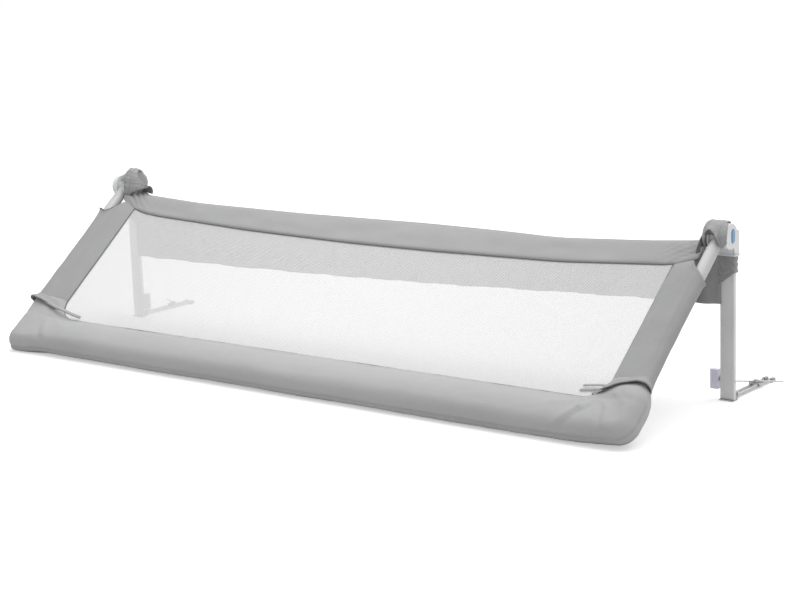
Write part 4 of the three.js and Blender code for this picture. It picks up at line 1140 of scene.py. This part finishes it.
# Floor, light and camera
FLOOR_TONE, FLOOR_GLOW = 0.74, 0.46
WORLD_LIGHT = 0.53
SUN, SUN_SPREAD, SUN_FROM = 1.55, radians(60), Vector((0.20, 0.20, 0.90))
OVERHEAD, OVERHEAD_SIZE, OVERHEAD_PLACE = 6.5, 0.9, (0.0, -0.15, 1.4)
CAMERA_PLACE = Vector((2.2309, -2.7187, 0.8437))
CAMERA_YAW, CAMERA_PITCH, CAMERA_ROLL = radians(-38.16), radians(11.543), radians(2.0195)
FOCAL_SHARE = 1859.2 / 800  # of the picture's width


def background_rays(tree):
    """1 for the rays that show the background: straight to the camera, mirrored, or through glass."""
    path = add(tree, "ShaderNodeLightPath").outputs
    straight = math_node(tree, "MAXIMUM", path["Is Camera Ray"], path["Is Glossy Ray"])
    return math_node(tree, "MAXIMUM", straight, path["Is Transmission Ray"])


def studio():
    bpy.ops.mesh.primitive_plane_add(size=30, location=(0, 0, 0))
    floor = bpy.context.object
    floor.name = "studio_floor"
    material = bpy.data.materials.new("studio_floor")
    material.use_nodes = True
    tree = material.node_tree
    tree.nodes.clear()
    strength = math_node(tree, "MULTIPLY", background_rays(tree), FLOOR_GLOW)
    diffuse = add(tree, "ShaderNodeBsdfDiffuse", {"Color": (FLOOR_TONE, FLOOR_TONE, FLOOR_TONE, 1)})
    glow = add(tree, "ShaderNodeEmission", {"Color": (1, 1, 1, 1), "Strength": strength})
    both = add(tree, "ShaderNodeAddShader", {0: diffuse.outputs[0], 1: glow.outputs[0]})
    add(tree, "ShaderNodeOutputMaterial", {"Surface": both.outputs[0]})
    floor.data.materials.append(material)
    world = bpy.data.worlds.new("studio")
    bpy.context.scene.world = world
    world.use_nodes = True
    tree = world.node_tree
    background = tree.nodes["Background"]
    background.inputs["Color"].default_value = (1, 1, 1, 1)
    tree.links.new(ranged(tree, background_rays(tree), WORLD_LIGHT, 1.0), background.inputs["Strength"])
    sun = bpy.data.lights.new("key", "SUN")
    sun.energy = SUN
    sun.angle = SUN_SPREAD
    link("key", sun).rotation_euler = SUN_FROM.to_track_quat("Z", "Y").to_euler()
    soft = bpy.data.lights.new("overhead", "AREA")
    soft.energy = OVERHEAD
    soft.size = OVERHEAD_SIZE
    link("overhead", soft).location = OVERHEAD_PLACE


def make_camera():
    """The photograph's viewpoint, 11.5 degrees above the horizon and 38 degrees round to the right end."""
    flat = cos(CAMERA_PITCH)
    forward = Vector((sin(CAMERA_YAW) * flat, cos(CAMERA_YAW) * flat, -sin(CAMERA_PITCH)))
    level = Vector((cos(CAMERA_YAW), -sin(CAMERA_YAW), 0))
    plumb = forward.cross(level)
    right = cos(CAMERA_ROLL) * level + sin(CAMERA_ROLL) * plumb
    down = cos(CAMERA_ROLL) * plumb - sin(CAMERA_ROLL) * level
    lens = bpy.data.cameras.new("camera")
    lens.sensor_width = 36
    lens.lens = FOCAL_SHARE * lens.sensor_width
    lens.clip_start, lens.clip_end = 0.05, 60
    camera = link("camera", lens)
    turn = Matrix((right, -down, -forward)).transposed()
    camera.matrix_world = Matrix.Translation(CAMERA_PLACE) @ turn.to_4x4()
    bpy.context.scene.camera = camera


studio()
make_camera()
bpy.context.scene.view_settings.view_transform = "Standard"
